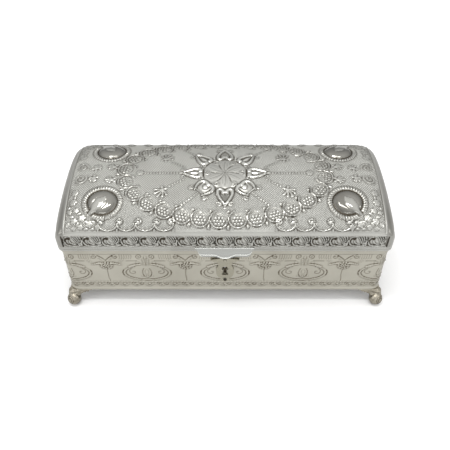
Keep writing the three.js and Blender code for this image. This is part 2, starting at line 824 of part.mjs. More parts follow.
function backCard() {
  const back = innerHalfDepth - clear;
  let card = block([-cardHalfLength, backCardInside, cardLow], [cardHalfLength, back, cardHigh]);
  for (const side of [-1, 1]) {
    const half = hingeWidth / 2 + clear;
    const x = side * hingeX;
    const pocketFront = back - leafThickness - clear;
    const pocketLow = split - leafHeight - clear;
    card = card.subtract(block([x - half, pocketFront, pocketLow], [x + half, back + overrun, split]));
    for (const place of [-1, 1]) {
      const depth = rivetHeadHeight + 2 * clear;
      const start = [x + place * rivetX, pocketFront - depth + clear, baseRivetLevel];
      card = card.subtract(bar('y', rivetHeadRadius + clear, depth + overrun, start));
    }
  }
  return card;
}

function endCard(side) {
  const near = side * (innerHalfLength - clear);
  const far = near - side * wallLining;
  const half = innerHalfDepth - baseCornerRadius + sheet - clear;
  return block([Math.min(near, far), -half, cardLow], [Math.max(near, far), half, cardHigh]);
}

function lidPad() {
  const pad = vaultForm(sheet + clear, lidBottom);
  const hollow = vaultForm(sheet + clear + lidLining, lidBottom - overrun);
  const reachLow = [-halfLength, -halfDepth, lidBottom - overrun];
  const reachHigh = [halfLength, halfDepth, lidBottom + lidLiningLevel];
  return pad.subtract(hollow).subtract(block(reachLow, reachHigh));
}

// Lock case: an open-backed tray with a keyhole, a rail under the bolt and two screw bosses
function lockCase() {
  let tray = block([-lockHalfWidth, lockFront, lockLow], [lockHalfWidth, lockBack, lockHigh]);
  const wall = lockHalfWidth - lockSheet;
  tray = tray.subtract(block([-wall, lockInside, lockLow + lockSheet], [wall, lockBack + overrun, lockRoof]));
  const railHigh = boltLow - clear;
  const railStart = [-wall, lockInside, railHigh - railThickness];
  tray = tray.add(block(railStart, [-loopHalf - clear, lockBack - clear, railHigh]));
  tray = tray.subtract(keyhole(lockFront - overrun, lockSheet + 2 * overrun, clear));
  const slot = loopHalf + 2 * clear;
  tray = tray.subtract(block([-slot, lockInside, lockRoof - overrun], [slot, lockBack, lockHigh + overrun]));
  for (const side of [-1, 1]) {
    const x = side * lockScrewX;
    const z = lockLow + lockScrewRise;
    tray = tray.add(bar('y', lockBossRadius, lockDepth - clear, [x, lockFront, z]));
    const hole = [x, lockBack - lockScrewLength, z];
    const depth = lockScrewLength + overrun;
    tray = tray.subtract(bar('y', lockScrewRadius + clear, depth, hole, pinSides));
  }
  return tray;
}

function lockCover() {
  const back = coverFront + lockSheet;
  let cover = block([-lockHalfWidth, coverFront, lockLow], [lockHalfWidth, back, lockHigh]);
  for (const side of [-1, 1]) {
    const start = [side * lockScrewX, coverFront - overrun, lockLow + lockScrewRise];
    cover = cover.subtract(bar('y', lockScrewRadius + clear, lockSheet + 2 * overrun, start, pinSides));
  }
  const start = [0, coverFront - overrun, keyLevel];
  return cover.subtract(bar('y', lockPostRadius + clear, lockSheet + 2 * overrun, start, pinSides));
}

function lockScrew(side) {
  const z = lockLow + lockScrewRise;
  const x = side * lockScrewX;
  const headFront = coverFront + lockSheet + clear;
  const shankStart = headFront - lockScrewLength;
  const shank = bar('y', lockScrewRadius, lockScrewLength, [x, shankStart, z], pinSides);
  return shank.add(bar('y', lockBossRadius, lockSheet, [x, headFront, z]));
}

// The fixed post that the key turns on, riveted in the cover and ending in the keyhole
function lockPost() {
  const start = fieldFront + clear;
  const length = coverFront + lockSheet + clear - start;
  const post = bar('y', lockPostRadius, length, [0, start, keyLevel], pinSides);
  return post.add(bar('y', lockBossRadius, lockSheet, [0, start + length, keyLevel]));
}

// The bolt: a thick block on the rail, notched for the key, with a thin finger for the loop
function lockBolt() {
  const left = boltRight - boltLength;
  let bolt = block([left, boltFront, boltLow], [boltRight, boltBack, boltHigh]);
  const fingerStart = boltRight - overrun;
  const fingerHigh = fingerLow + fingerHeight;
  const fingerEnd = fingerFront + fingerThickness;
  bolt = bolt.add(block([fingerStart, fingerFront, fingerLow], [fingerTip, fingerEnd, fingerHigh]));
  const middle = left + boltLength / 2;
  const low = [middle - talonWidth / 2, boltFront - overrun, boltLow - overrun];
  return bolt.subtract(block(low, [middle + talonWidth / 2, boltBack + overrun, boltLow + talonDepth]));
}

// The catch: a plate soldered inside the lid's front wall, stepped back to a loop for the bolt
function lidCatch() {
  const front = -(halfDepth - sheet - clear);
  const loopFront = windowFront - loopWall;
  const loopBack = windowBack + loopWall;
  const high = lidBottom + catchHeight;
  const stepHigh = lidBottom + catchThickness;
  let plate = block([-catchHalfWidth, front, lidBottom], [catchHalfWidth, front + catchThickness, high]);
  plate = plate.add(block([-catchHalfWidth, front, lidBottom], [catchHalfWidth, loopBack, stepHigh]));
  plate = plate.add(block([-loopHalf, loopFront, windowLow - loopFloor], [loopHalf, loopBack, stepHigh]));
  const low = [-loopHalf - overrun, windowFront, windowLow];
  return plate.subtract(block(low, [loopHalf + overrun, windowBack, windowHigh]));
}

addPiece('lid_shell', lidShell(), lidSilver);
addPiece('thumb_tab', thumbTab(), polishedSilver);
addPiece('lid_lining', lidPad(), velvet);
addPiece('lid_catch', lidCatch(), brass);
addPiece('base_shell', baseShell(), baseSilver);
addPiece('bottom_plate', bottomPlate(), steel);
for (const [endName, signX] of [['left', -1], ['right', 1]]) {
  const x = signX * hingeX;
  const lidLeafLevel = lidBottom;
  addPiece(`hinge_leaf_lid_${endName}`, hingeLeaf(x, 1, lidLeafY, lidLeafLevel, lidRivetLevel), brass);
  addPiece(`hinge_leaf_base_${endName}`, hingeLeaf(x, -1, baseLeafY, split, baseRivetLevel), brass);
  const pinStart = [x - hingeWidth / 2, hingeY, hingeZ];
  addPiece(`hinge_pin_${endName}`, bar('x', hingePinRadius, hingeWidth, pinStart), steel);
  for (const [rivetName, place] of [['outer', signX], ['inner', -signX]]) {
    const rivetAt = x + place * rivetX;
    const lidWall = halfDepth - channelDepth;
    const baseWall = baseHalfDepth - fieldInset;
    const lidRivet = hingeRivet(rivetAt, lidRivetLevel, lidLeafY, lidWall);
    const baseRivet = hingeRivet(rivetAt, baseRivetLevel, baseLeafY, baseWall);
    addPiece(`lid_rivet_${endName}_${rivetName}`, lidRivet, brass);
    addPiece(`base_rivet_${endName}_${rivetName}`, baseRivet, brass);
  }
  for (const [sideName, signY] of [['front', -1], ['back', 1]]) {
    addPiece(`foot_${sideName}_${endName}`, foot(signX, signY), baseSilver);
    const screwX = signX * (baseHalfLength - footScrewInset);
    const screwY = signY * (baseHalfDepth - footScrewInset);
    addPiece(`foot_screw_${sideName}_${endName}`, footScrew(screwX, screwY), steel);
  }
  addPiece(`lining_${endName}`, endCard(signX), velvet);
  addPiece(`lock_screw_${endName}`, lockScrew(signX), steel);
}
addPiece('lining_floor', floorPad(), velvet);
addPiece('lining_front', frontCard(), velvet);
addPiece('lining_back', backCard(), velvet);
addPiece('escutcheon', keyholePlate(), polishedSilver);
addPiece('escutcheon_pin_upper', platePin(platePinLevels[0]), steel);
addPiece('escutcheon_pin_lower', platePin(platePinLevels[1]), steel);
addPiece('lock_case', lockCase(), brass);
addPiece('lock_cover', lockCover(), brass);
addPiece('lock_post', lockPost(), steel);
addPiece('lock_bolt', lockBolt(), steel);

export default box;
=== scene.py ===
import functools
import math

import bmesh
import bpy
import numpy as np
from mathutils import Matrix, Vector


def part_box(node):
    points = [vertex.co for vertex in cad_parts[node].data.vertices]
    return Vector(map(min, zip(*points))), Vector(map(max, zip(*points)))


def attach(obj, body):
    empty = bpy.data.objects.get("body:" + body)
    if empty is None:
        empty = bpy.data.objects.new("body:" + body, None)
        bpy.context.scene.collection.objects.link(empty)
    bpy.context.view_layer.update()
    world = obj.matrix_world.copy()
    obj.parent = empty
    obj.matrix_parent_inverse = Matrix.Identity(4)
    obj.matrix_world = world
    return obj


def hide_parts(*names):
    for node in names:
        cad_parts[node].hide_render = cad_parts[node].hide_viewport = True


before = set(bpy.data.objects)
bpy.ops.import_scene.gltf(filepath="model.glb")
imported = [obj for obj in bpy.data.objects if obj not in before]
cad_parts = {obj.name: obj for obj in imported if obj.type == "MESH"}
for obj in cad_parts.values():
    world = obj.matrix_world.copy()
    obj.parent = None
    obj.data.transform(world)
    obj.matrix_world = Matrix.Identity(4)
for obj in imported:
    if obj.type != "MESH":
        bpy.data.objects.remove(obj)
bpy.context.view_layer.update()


# Base shell: four walls of silver-plated sheet, pressed with chased cartouches and flower stems
# between a plain rim and a thin foot moulding, and turned in at the foot as a flange that the
# bottom plate lies on. The plate has a slightly warm tone and holds dark tarnish in its recesses.
# Its keyhole and two short lines under the lid's tab are painted dark as shade and shadow.

def linear(colour):
    """An sRGB hex colour as linear RGBA, as the shaders take it."""
    channels = [int(colour[i:i + 2], 16) / 255 for i in (1, 3, 5)]
    return [c / 12.92 if c <= 0.04045 else ((c + 0.055) / 1.055) ** 2.4 for c in channels] + [1]


def add_node(tree, kind, settings=None, **links):
    """A shader node with its settings. Each input is set to a value, or linked from a socket or
    from a node's first output. An underscore and a number name an input by its place."""
    node = tree.nodes.new("ShaderNode" + kind)
    for name, value in (settings or {}).items():
        setattr(node, name, value)
    for name, value in links.items():
        key = int(name[1:]) if name[0] == "_" else name.replace("_", " ")
        if isinstance(value, bpy.types.Node):
            value = value.outputs[0]
        if isinstance(value, bpy.types.NodeSocket):
            tree.links.new(value, node.inputs[key])
        else:
            node.inputs[key].default_value = value
    return node


def empty_nodes(owner):
    """Clears the nodes of a material or a world, and gives a function that adds nodes to it."""
    owner.use_nodes = True
    owner.node_tree.nodes.clear()
    return functools.partial(add_node, owner.node_tree)


def chased_silver(name, silver, tarnish, rough, mesh_pitch):
    """Pressed and chased silver plate. The tarnish left in the recesses by polishing draws each
    form in dark lines, handling leaves cloudy patches about 22 mm across, and the ground between
    the forms is pricked with a fine diamond mesh. Its scratches are drawn coarser than real ones,
    about 1 mm long, so that they show. The mesh's pitch is in mm."""
    patches_per_metre, scratches_per_metre = 45.0, 900.0
    handled_most, film_most = 0.16, 0.14
    prick_depth, scratch_depth = 0.00035, 0.0002
    mesh_tarnish, stain_dull, ground_dull, polish_gain = 0.26, 0.3, 0.16, -0.75
    made = bpy.data.materials.new(name)
    node = empty_nodes(made)
    worked = node("Attribute", {"attribute_name": "chasing"})
    # The dark mark is mostly tarnish, and in places painted shade and painted reflection: the bosses, the
    # keyhole, the lip and two lines under the tab.
    dark, ground, polish = node("SeparateColor", Color=worked).outputs
    place = node("TexCoord").outputs["Object"]
    cloud = node("TexNoise", Vector=place, Scale=patches_per_metre, Detail=4.0)
    handled = node("MapRange", Value=cloud, _1=0.3, _2=0.75, _3=0.0, _4=handled_most)
    worn = node("Math", {"operation": "MAXIMUM"}, _0=ground, _1=polish)
    film = node("MapRange", Value=worn, _3=film_most, _4=0.0)
    aged = node("Math", {"operation": "ADD"}, _0=film, _1=handled)
    stain = node("Math", {"operation": "ADD", "use_clamp": True}, _0=dark, _1=aged)
    tone = node("Mix", {"data_type": "RGBA"}, _0=stain, _6=linear(silver), _7=linear(tarnish))
    flat = node("UVMap", {"uv_map": "sheet"})
    turned = node("Mapping", Vector=flat, Rotation=(0, 0, math.radians(45)),
                  Scale=(1000 * math.pi / mesh_pitch,) * 3)
    axes = node("SeparateXYZ", Vector=turned)
    waves = [node("Math", {"operation": "SINE"}, _0=axes.outputs[i]) for i in (0, 1)]
    mesh = node("Math", {"operation": "MULTIPLY"}, _0=waves[0], _1=waves[1])
    studs = node("Math", {"operation": "ABSOLUTE"}, _0=mesh)
    pricked = node("Math", {"operation": "MULTIPLY"}, _0=studs, _1=ground)
    scratch = node("TexNoise", Vector=place, Scale=scratches_per_metre, Detail=2.0)
    fine = node("Bump", Strength=0.05, Distance=scratch_depth, Height=scratch)
    bump = node("Bump", Strength=1.0, Distance=prick_depth, Height=pricked, Normal=fine)
    groove = node("Math", {"operation": "SUBTRACT", "use_clamp": True}, _0=ground, _1=studs)
    lines = node("Math", {"operation": "MULTIPLY"}, _0=groove, _1=mesh_tarnish)
    toned = node("Mix", {"data_type": "RGBA"}, _0=lines, _6=tone.outputs[2], _7=linear(tarnish))
    dull = node("Math", {"operation": "MULTIPLY_ADD"}, _0=stain, _1=stain_dull, _2=rough)
    matt = node("Math", {"operation": "MULTIPLY_ADD"}, _0=ground, _1=ground_dull, _2=dull)
    shine = node("Math", {"operation": "MULTIPLY_ADD"}, _0=polish, _1=polish_gain, _2=1.0)
    gloss = node("Math", {"operation": "MULTIPLY"}, _0=matt, _1=shine)
    shader = node("BsdfPrincipled", Base_Color=toned.outputs[2], Metallic=1.0,
                  Roughness=gloss, Normal=bump)
    node("OutputMaterial", Surface=shader)
    return made


class Chasing:
    """Relief in mm over sheet laid out flat, on a grid of columns and rows of points, with how
    dark it is (its tarnish, and in places painted shade and reflection), where its ground is
    pricked and where it is polished."""

    tarnish_and_shade_per_mm = 1.4
    hollow_reach = 0.8
    worn_from, worn_most = 0.4, 0.25

    def __init__(self, columns, rows):
        self.columns, self.rows = columns, rows
        self.x, self.y = np.meshgrid(columns, rows)
        self.height, self.dark, self.ground, self.polish = (np.zeros_like(self.x) for _ in range(4))

    def window(self, low, high):
        """The part of the grid between two corners."""
        across = np.searchsorted(self.columns, [low[0], high[0]])
        up = np.searchsorted(self.rows, [low[1], high[1]])
        return slice(*up), slice(*across)

    def press(self, part, shape, rise, on_top, polish):
        """Raises the sheet to a shape, or sinks it where the rise is below zero."""
        height, ground = self.height[part], self.ground[part]
        if rise < 0:
            tarnish = np.clip(-self.tarnish_and_shade_per_mm * rise * shape, 0, 1)
            np.maximum(self.dark[part], tarnish, out=self.dark[part])
        if on_top or rise < 0:
            height += rise * shape
        else:
            np.maximum(height, rise * shape, out=height)
        ground[shape > 0] = 0
        if polish:
            np.maximum(self.polish[part], (shape > 0.1) * 1.0, out=self.polish[part])

    def bead(self, x, y, radius, rise, stretch=1.0, turn=0.0, on_top=False, polish=False):
        """A round or long bead, its length turned by an angle."""
        reach = radius * max(stretch, 1)
        part = self.window((x - reach, y - reach), (x + reach, y + reach))
        across, up = self.x[part] - x, self.y[part] - y
        along = (across * math.cos(turn) + up * math.sin(turn)) / stretch
        beside = up * math.cos(turn) - across * math.sin(turn)
        shape = np.sqrt(np.clip(1 - (along ** 2 + beside ** 2) / radius ** 2, 0, 1))
        self.press(part, shape, rise, on_top, polish)

    def line(self, points, widths, rise, on_top=False, polish=False):
        """A raised or sunk line along points, with a width at each end or one all along."""
        points = np.asarray(points, float)
        first, last = (widths, widths) if np.isscalar(widths) else widths
        reach = max(first, last) / 2
        part = self.window(points.min(0) - reach, points.max(0) + reach)
        spots = np.stack([self.x[part], self.y[part]], -1)[None]
        if not spots.size:
            return
        run = np.diff(points, axis=0)[:, None, None]
        start = points[:-1, None, None]
        share = np.clip(((spots - start) * run).sum(-1) / np.maximum((run ** 2).sum(-1), 1e-9), 0, 1)
        distance = np.linalg.norm(spots - start - share[..., None] * run, axis=-1)
        order = (np.arange(len(run))[:, None, None] + share) / len(run)
        half = (first + (last - first) * order) / 2
        shape = np.sqrt(np.clip(1 - (distance / half).min(0) ** 2, 0, 1))
        self.press(part, shape, rise, on_top, polish)

    def finish_dark(self, depth):
        """Tarnish stays where the sheet lies below what is round it, and wears off what stands out."""
        level = self.height
        cells = max(1, round(self.hollow_reach / abs(self.rows[1] - self.rows[0])))
        for axis in (0, 1):
            level = sum(np.roll(level, step, axis) for step in range(-cells, cells + 1)) / (2 * cells + 1)
        low = np.clip((level - self.height) / depth, 0, 1)
        self.dark = np.clip(np.maximum(self.dark, low), 0, 1)
        worn = np.clip((self.height - level) / depth - self.worn_from, 0, self.worn_most)
        self.polish = np.maximum(self.polish, worn)

    def marks(self):
        """The marks that the material reads, one colour for each point."""
        return np.stack([self.dark, self.ground, self.polish, np.ones_like(self.x)], -1)


def spiral(x, y, radius, turns, start, sense=1, inner=0.15):
    """Points along a scroll from its outside to its eye, ten to a turn."""
    count = max(6, int(10 * turns))
    shares = np.linspace(0, 1, count)
    radii = radius * (1 - (1 - inner) * shares)
    angles = start + sense * shares * turns * 2 * math.pi
    return np.stack([x + radii * np.cos(angles), y + radii * np.sin(angles)], -1)


def arc(x, y, across, up, first, last, steps):
    """Points along part of an oval."""
    angles = np.radians(np.linspace(first, last, steps))
    return np.stack([x + across * np.cos(angles), y + up * np.sin(angles)], -1)


def bend(*corners, steps=8):
    """Points along one smooth curve drawn by its guide points."""
    corners = np.asarray(corners, float)
    shares = np.linspace(0, 1, steps)[:, None]
    level = [c[None] for c in corners]
    while len(level) > 1:
        level = [a * (1 - shares) + b * shares for a, b in zip(level, level[1:])]
    return level[0]


def around(distance, half_x, half_y, radius, inset=0.0):
    """Places and outward directions along a rounded rectangle, from the middle of its front. With
    an inset they are the matching places on a smaller one inside it."""
    quarter = math.pi / 2 * radius
    long, deep = half_x - radius, half_y - radius
    steps = [long, quarter, 2 * deep, quarter, 2 * long, quarter, 2 * deep, quarter, long]
    stops = np.concatenate([[0], np.cumsum(steps)])
    reduced = np.mod(distance, stops[-1])
    radius = max(radius - inset, 1.0)
    long, deep = half_x - inset - radius, half_y - inset - radius
    corner_x = np.interp(reduced, stops, [0, long, long, long, long, -long, -long, -long, -long, 0])
    corner_y = np.interp(reduced, stops, [-deep, -deep, -deep, deep, deep, deep, deep, -deep, -deep, -deep])
    turn = np.interp(reduced, stops, np.repeat(np.arange(5), 2) * math.pi / 2)
    out_x, out_y = np.sin(turn), -np.cos(turn)
    return corner_x + radius * out_x, corner_y + radius * out_y, out_x, out_y


def girth(half_x, half_y, radius):
    """The way round a rounded rectangle."""
    return 4 * (half_x + half_y - 2 * radius) + 2 * math.pi * radius


def sheet_piece(name, places, marks, uv, material, under=None):
    """A mesh from a grid of places in mm, with the chasing's marks and a flat layout in metres.
    Under, where the sheet has one, is its far side and the rows and columns that it keeps."""
    rows, columns = places.shape[:2]
    shell = bmesh.new()
    bmesh.ops.create_grid(shell, x_segments=columns - 1, y_segments=rows - 1, size=1)
    chasing = shell.verts.layers.float_color.new("chasing")
    for vert, place, mark in zip(shell.verts, places.reshape(-1, 3) / 1000, marks.reshape(-1, 4)):
        vert.co = place
        vert[chasing] = mark
    layout = shell.loops.layers.uv.new("sheet")
    flat = uv.reshape(-1, 2) / 1000
    for face in shell.faces:
        for loop in face.loops:
            loop[layout].uv = flat[loop.vert.index]
    if under:
        close_under(shell, (rows, columns), *under)
    bmesh.ops.remove_doubles(shell, verts=shell.verts, dist=2e-6)
    bmesh.ops.dissolve_degenerate(shell, edges=shell.edges, dist=1e-7)
    bmesh.ops.recalc_face_normals(shell, faces=shell.faces)
    return as_object(name, shell, material)


def close_under(shell, shape, under, row_picks, column_picks):
    """Adds the far side of a sheet on its thinned-out grid, and joins the two round the border."""
    fine_count = shape[0] * shape[1]
    bmesh.ops.create_grid(shell, x_segments=len(column_picks) - 1, y_segments=len(row_picks) - 1, size=1)
    verts = list(shell.verts)
    for vert, place in zip(verts[fine_count:], under.reshape(-1, 3) / 1000):
        vert.co = place

    def border(grid):
        return np.concatenate([grid[0], grid[1:, -1], grid[-1, -2::-1], grid[-2:0:-1, 0]])

    kept = np.zeros(shape, bool)
    kept[np.ix_(row_picks, column_picks)] = True
    near = border(np.arange(fine_count).reshape(shape))
    far = border(fine_count + np.arange(under.shape[0] * under.shape[1]).reshape(under.shape[:2]))
    stops = np.append(np.flatnonzero(border(kept)), len(near))
    near, far = np.append(near, near[0]), np.append(far, far[0])
    for k in range(len(far) - 1):
        run = near[stops[k]:stops[k + 1] + 1]
        shell.faces.new([verts[i] for i in (*run, far[k + 1], far[k])])


def as_object(name, shell, material):
    """The finished mesh as a smooth-shaded object with creases at its sharp edges."""
    sharp = math.radians(50)
    for face in shell.faces:
        face.smooth = True
    for edge in shell.edges:
        if len(edge.link_faces) == 2 and edge.calc_face_angle(0) > sharp:
            edge.smooth = False
    data = bpy.data.meshes.new(name)
    shell.to_mesh(data)
    shell.free()
    data.materials.append(material)
    made = bpy.data.objects.new(name, data)
    bpy.context.scene.collection.objects.link(made)
    return made


base_low, base_high = (corner * 1000 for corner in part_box("base_shell"))
base_half_x, base_half_y = base_high.x, base_high.y
base_corner, base_wall = 6.0, 2.0
rim_band, foot_band = 3.3, 1.6
field_inset, field_fade = 0.5, 0.6
flange_top, flange_reach = base_low.z + 1.4, 11.0
base_pitch = 0.52
hinge_x, hinge_half = 62.0, 11.3
hinge_y, hinge_z = 43.0, 54.15
knuckle_room, strap_room, kept_apart = 2.1, 1.1, 0.01
key_z, key_foot = 36.5, 29.8
key_radius, key_slot, key_skin = 2.2, 1.0, 0.3

cartouche_pitch = 53.3
cartouche_half, cartouche_rise = 16.6, 8.6
cartouche_z = 30.8
shoulder_squeeze = 0.94
wire, fine_wire = 0.95, 0.75
stem_z = 38.6
garland_pitch = 8.9
tab_shadow_sunk_lines = ((9.4, 49.2), (3.6, 49.2))
oval_lines = ((1.0, 1.0, 118, 44, wire, -0.26), (0.93, 0.91, 124, 40, wire, 0.3),
              (0.86, 0.83, 130, 40, fine_wire, -0.16))
seed_rings = ((1, 0), (6, 1.75), (11, 3.4))


def cartouche(work, x, squeeze):
    """An oval frame of chased lines with beads between them, under a crown of scrolls. Its places
    are shares of the oval's half width and half height."""
    z, up, half = cartouche_z, cartouche_rise, cartouche_half * squeeze
    for wide_share, high_share, first, steps, width, rise in oval_lines:
        work.line(arc(x, z, half * wide_share, up * high_share, first, 540 - first, steps), width, rise)
    for side in (-1, 1):
        def at(across, rise):
            return x + side * half * across, z + up * rise

        work.line(bend(at(0.2, 1.06), at(0.42, 1.04), at(0.68, 0.74)), (0.8, 1.9), 0.5, polish=True)
        for k in range(5):
            work.bead(x + side * (1.1 + 0.12 * k), z + up * (0.98 + 0.17 * k), 0.6, 0.4)
        work.bead(*at(0.34, 1.28), 0.7, 0.35, 1.5, side * 0.6)
        work.line(spiral(*at(0.24, 1.95), 2.5, 1.4, -1.6, side), fine_wire, -0.24)
        work.line([at(0.36, 1.45), at(0.78, 1.42)], fine_wire, -0.2)
        work.line(spiral(*at(1.2, 1.92), 2.3, 1.3, math.pi / 2, -side), fine_wire, -0.24)
        work.line(spiral(*at(0.56, 0.1), 3.2, 1.0, 1.55 - 0.35 * side, -side), fine_wire, -0.2)
        work.line(bend(at(0, -0.7), at(0.3, -0.3), at(0.12, 0.5)), fine_wire, -0.2)
        for k in range(9):
            angle = math.radians(-90 + side * (6 + 7.2 * k))
            work.bead(x + 0.93 * half * math.cos(angle), z + 0.91 * up * math.sin(angle), 0.62, 0.4)
        for k in range(3):
            work.bead(*at(0.9 + 0.07 * k, 1.62 - 0.14 * k), 0.5, 0.35)
    for k in range(5):
        work.bead(x + (k - 2) * 1.5, z - up * 0.42, 0.6, 0.4)
    work.bead(x, z + up * 0.12, 1.0, 0.35, 2.2, math.pi / 2)
    work.bead(x, z + up * 1.85, 0.8, 0.4, 1.5, math.pi / 2)


def flower_stem(work, x):
    """A head of seeds on a stem between two cartouches, with two leaves, a V of sprigs above and
    fine blades of grass beside them."""
    for count, reach in seed_rings:
        for k in range(count):
            angle = 2 * math.pi * k / count
            work.bead(x + reach * math.cos(angle), stem_z + 0.9 * reach * math.sin(angle), 0.78, 0.6)
    for side in (-1, 1):
        def at(across, rise):
            return x + side * across, stem_z + rise

        work.line(bend(at(3.6, 2.6), at(6.2, 2.2), at(9.6, 0.9)), (1.8, 0.6), 0.5, polish=True)
        work.line(bend(at(0, 5.0), at(1.8, 7.8), at(5.2, 10.4)), fine_wire, -0.24)
        for k in range(3):
            work.bead(*at(2.6 + 1.7 * k, 6.6 + 1.7 * k), 0.62, 0.4, 1.4, side * 0.5)
        for k in range(6):
            blade = 9.6 + 1.5 * k
            work.line(bend(at(blade, 11.2), at(blade + 0.7, 9.2), at(blade - 0.2, 6.8)), fine_wire, -0.13)
    stem = bend((x, stem_z - 3.4), (x - 0.6, stem_z - 10.0), (x + 0.3, stem_z - 16.5))
    work.line(stem, fine_wire, -0.18)


def foot_garland(work, low, high):
    """A border of leaf scrolls and beads along the foot of the wall."""
    count = max(2, round((high - low) / garland_pitch))
    step = (high - low) / count
    for k in range(count):
        x = low + (k + 0.5) * step
        sense = 1 if k % 2 else -1

        def at(share, z):
            return x + step * share, z

        work.line(bend(at(-0.5, 16.6), at(-0.15, 20.4), at(0.2, 18.6), at(0.42, 16.4)), (1.0, 0.6), 0.32)
        work.line(spiral(*at(0.2 * sense, 18.6), 1.7, 1.1, 0.4, sense), fine_wire, -0.22)
        for j in range(3):
            work.bead(*at(0.3 * (j - 1), 20.9 - 0.4 * (j % 2)), 0.55, 0.4)
        work.bead(*at(0.5, 18.8), 0.8, 0.45, 1.3, 0.6)


def base_ornament(work, total):
    """The pattern of the four walls: three cartouches on each long wall, one round each corner and
    one on each end. Two short sunk lines just under the lid's tab, over the keyhole plate, are
    painted dark as the tab's shadow."""
    quarter = total / 4
    end_squeeze = (quarter - 2 * cartouche_pitch) / cartouche_pitch
    for middle in (0, 2 * quarter, -2 * quarter):
        for k in (-1, 0, 1):
            cartouche(work, middle + k * cartouche_pitch, 1.0)
        for k in (-1.5, -0.5, 0.5, 1.5):
            flower_stem(work, middle + k * cartouche_pitch)
        for side in (-1, 1):
            cartouche(work, middle + side * 2 * cartouche_pitch, shoulder_squeeze)
    for side in (-1, 1):
        # Painted shadow: two short sunk lines just under the lid's tab, dark as the tab's shadow.
        work.line([(side * x, z) for x, z in tab_shadow_sunk_lines], 1.0, -0.4)
    for middle in (quarter, -quarter):
        cartouche(work, middle, end_squeeze)
        for side in (-1, 1):
            flower_stem(work, middle + side * cartouche_pitch * end_squeeze / 2)
    for k in range(4):
        foot_garland(work, -total / 2 + k * quarter, -total / 2 + (k + 1) * quarter)


def flat_layout(columns, count, pitch):
    """A grid of flat places, its rows one pitch apart."""
    return np.stack(np.meshgrid(columns, np.arange(count) * pitch), -1)


def by_hinges(x, y):
    """Which places lie at one of the two hinges."""
    return (np.abs(np.abs(x) - hinge_x) < hinge_half) & (y > 0)


def knuckle_line(z):
    """How far back the sheet may come at a height, to leave room for the hinges' knuckles."""
    return hinge_y - np.sqrt(np.clip(knuckle_room ** 2 - (z - hinge_z) ** 2, 0, None))


def make_base():
    """The outside as a chased sheet, with room at the hinges, then a few plain rows over the rim,
    down the inside, over the flange and back under it."""
    mould_up, mould_wide, mould_rise = 0.4, 0.35, 0.12
    line_down, line_wide, line_dark = 0.5, 0.3, 0.7
    plain_mark = (0.15, 0, 0, 1.0)
    ledges = ((base_high.z, base_wall), (flange_top, base_wall), (flange_top, flange_reach),
              (base_low.z, flange_reach))
    total = girth(base_half_x, base_half_y, base_corner)
    columns = np.linspace(-total / 2, total / 2, round(total / base_pitch) + 1)
    outer = np.linspace(base_low.z, base_high.z, round((base_high.z - base_low.z) / base_pitch) + 1)
    work = Chasing(columns, outer)
    base_ornament(work, total)
    field_low, field_high = base_low.z + foot_band, base_high.z - rim_band
    inside = np.clip(np.minimum(work.y - field_low, field_high - work.y) / field_fade, 0, 1)
    work.height *= inside
    work.height[:, [0, -1]] = work.height[:, [0, -1]].max(1, keepdims=True)
    work.height += np.exp(-((work.y - field_high - mould_up) / mould_wide) ** 2) * mould_rise
    work.finish_dark(0.23)
    under_rim = np.exp(-((work.y - field_high + line_down) / line_wide) ** 2)
    work.dark = np.maximum(work.dark, line_dark * under_rim)
    x, y, out_x, out_y = around(work.x, base_half_x, base_half_y, base_corner)
    offset = np.minimum(0, work.height - field_inset * inside)
    keyhole = (y < 0) & ((np.hypot(x, work.y - key_z) < key_radius) | (
        (np.abs(x) < key_slot) & (work.y > key_foot) & (work.y < key_z)))
    offset = np.where(keyhole, key_skin - base_wall, offset)
    # Painted shade: the keyhole's dent is made fully dark, standing for the shade inside the hole.
    work.dark[keyhole] = 1
    places = np.stack([x + offset * out_x, y + offset * out_y, work.y], -1)
    near = by_hinges(places[..., 0], y)
    low_rim = base_high.z - strap_room
    cut_rim = low_rim + kept_apart * (work.y - low_rim)
    places[..., 1] = np.where(near, np.minimum(places[..., 1], knuckle_line(work.y)), places[..., 1])
    places[..., 2] = np.where(near, np.minimum(places[..., 2], cut_rim), places[..., 2])
    rows = []
    for level, inset in ledges:
        at_x, at_y, _, _ = around(columns, base_half_x, base_half_y, base_corner, inset)
        straps = by_hinges(at_x, at_y) & (level == base_high.z)
        rows.append(np.stack([at_x, at_y, np.where(straps, level - strap_room, level)], -1))
    rows.append(places[0])
    places = np.concatenate([places, np.stack(rows)])
    marks = np.concatenate([work.marks(), np.tile(plain_mark, (len(rows), len(columns), 1))])
    flat = flat_layout(columns, len(places), base_pitch)
    return sheet_piece("base_walls", places, marks, flat, base_silver)


base_silver = chased_silver("silver_plate_warm", "#cfccc0", "#6a6253", 0.28, 1.1)
base_walls = make_base()
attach(base_walls, "base")
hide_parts("base_shell")


# Lid shell, upper part: the vault of silver-plated sheet, pressed in one die with a rosette, a
# wreath of beaded rings, scallops along the front and back, and four polished corner bosses,
# painted dark as the reflection and shade of polished domes. Its ends roll over as plain, lightly
# polished bands, set darker in a duller tone that is partly painted shade, and a plain strip runs
# under the field at the front.

lid_low, lid_high = (corner * 1000 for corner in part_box("lid_shell"))
lid_half_x, lid_half_y = lid_high.x, -lid_low.y
lid_wall, lid_thick, lid_corner = 17.6, 1.8, 5.0
vault_height, vault_power = 30.5, 1.88
frieze_top = 14.6
end_roll, ridge_turn = 17.0, math.radians(34)
ridge_column = lid_half_x - end_roll + end_roll * ridge_turn
vault_pitch, under_step = 0.5, 9


def vault_curve(share):
    """How high the vault stands at a share of its half depth, as a share of its rise."""
    return (1 - np.minimum(np.abs(share), 1) ** vault_power) ** (1 / vault_power)


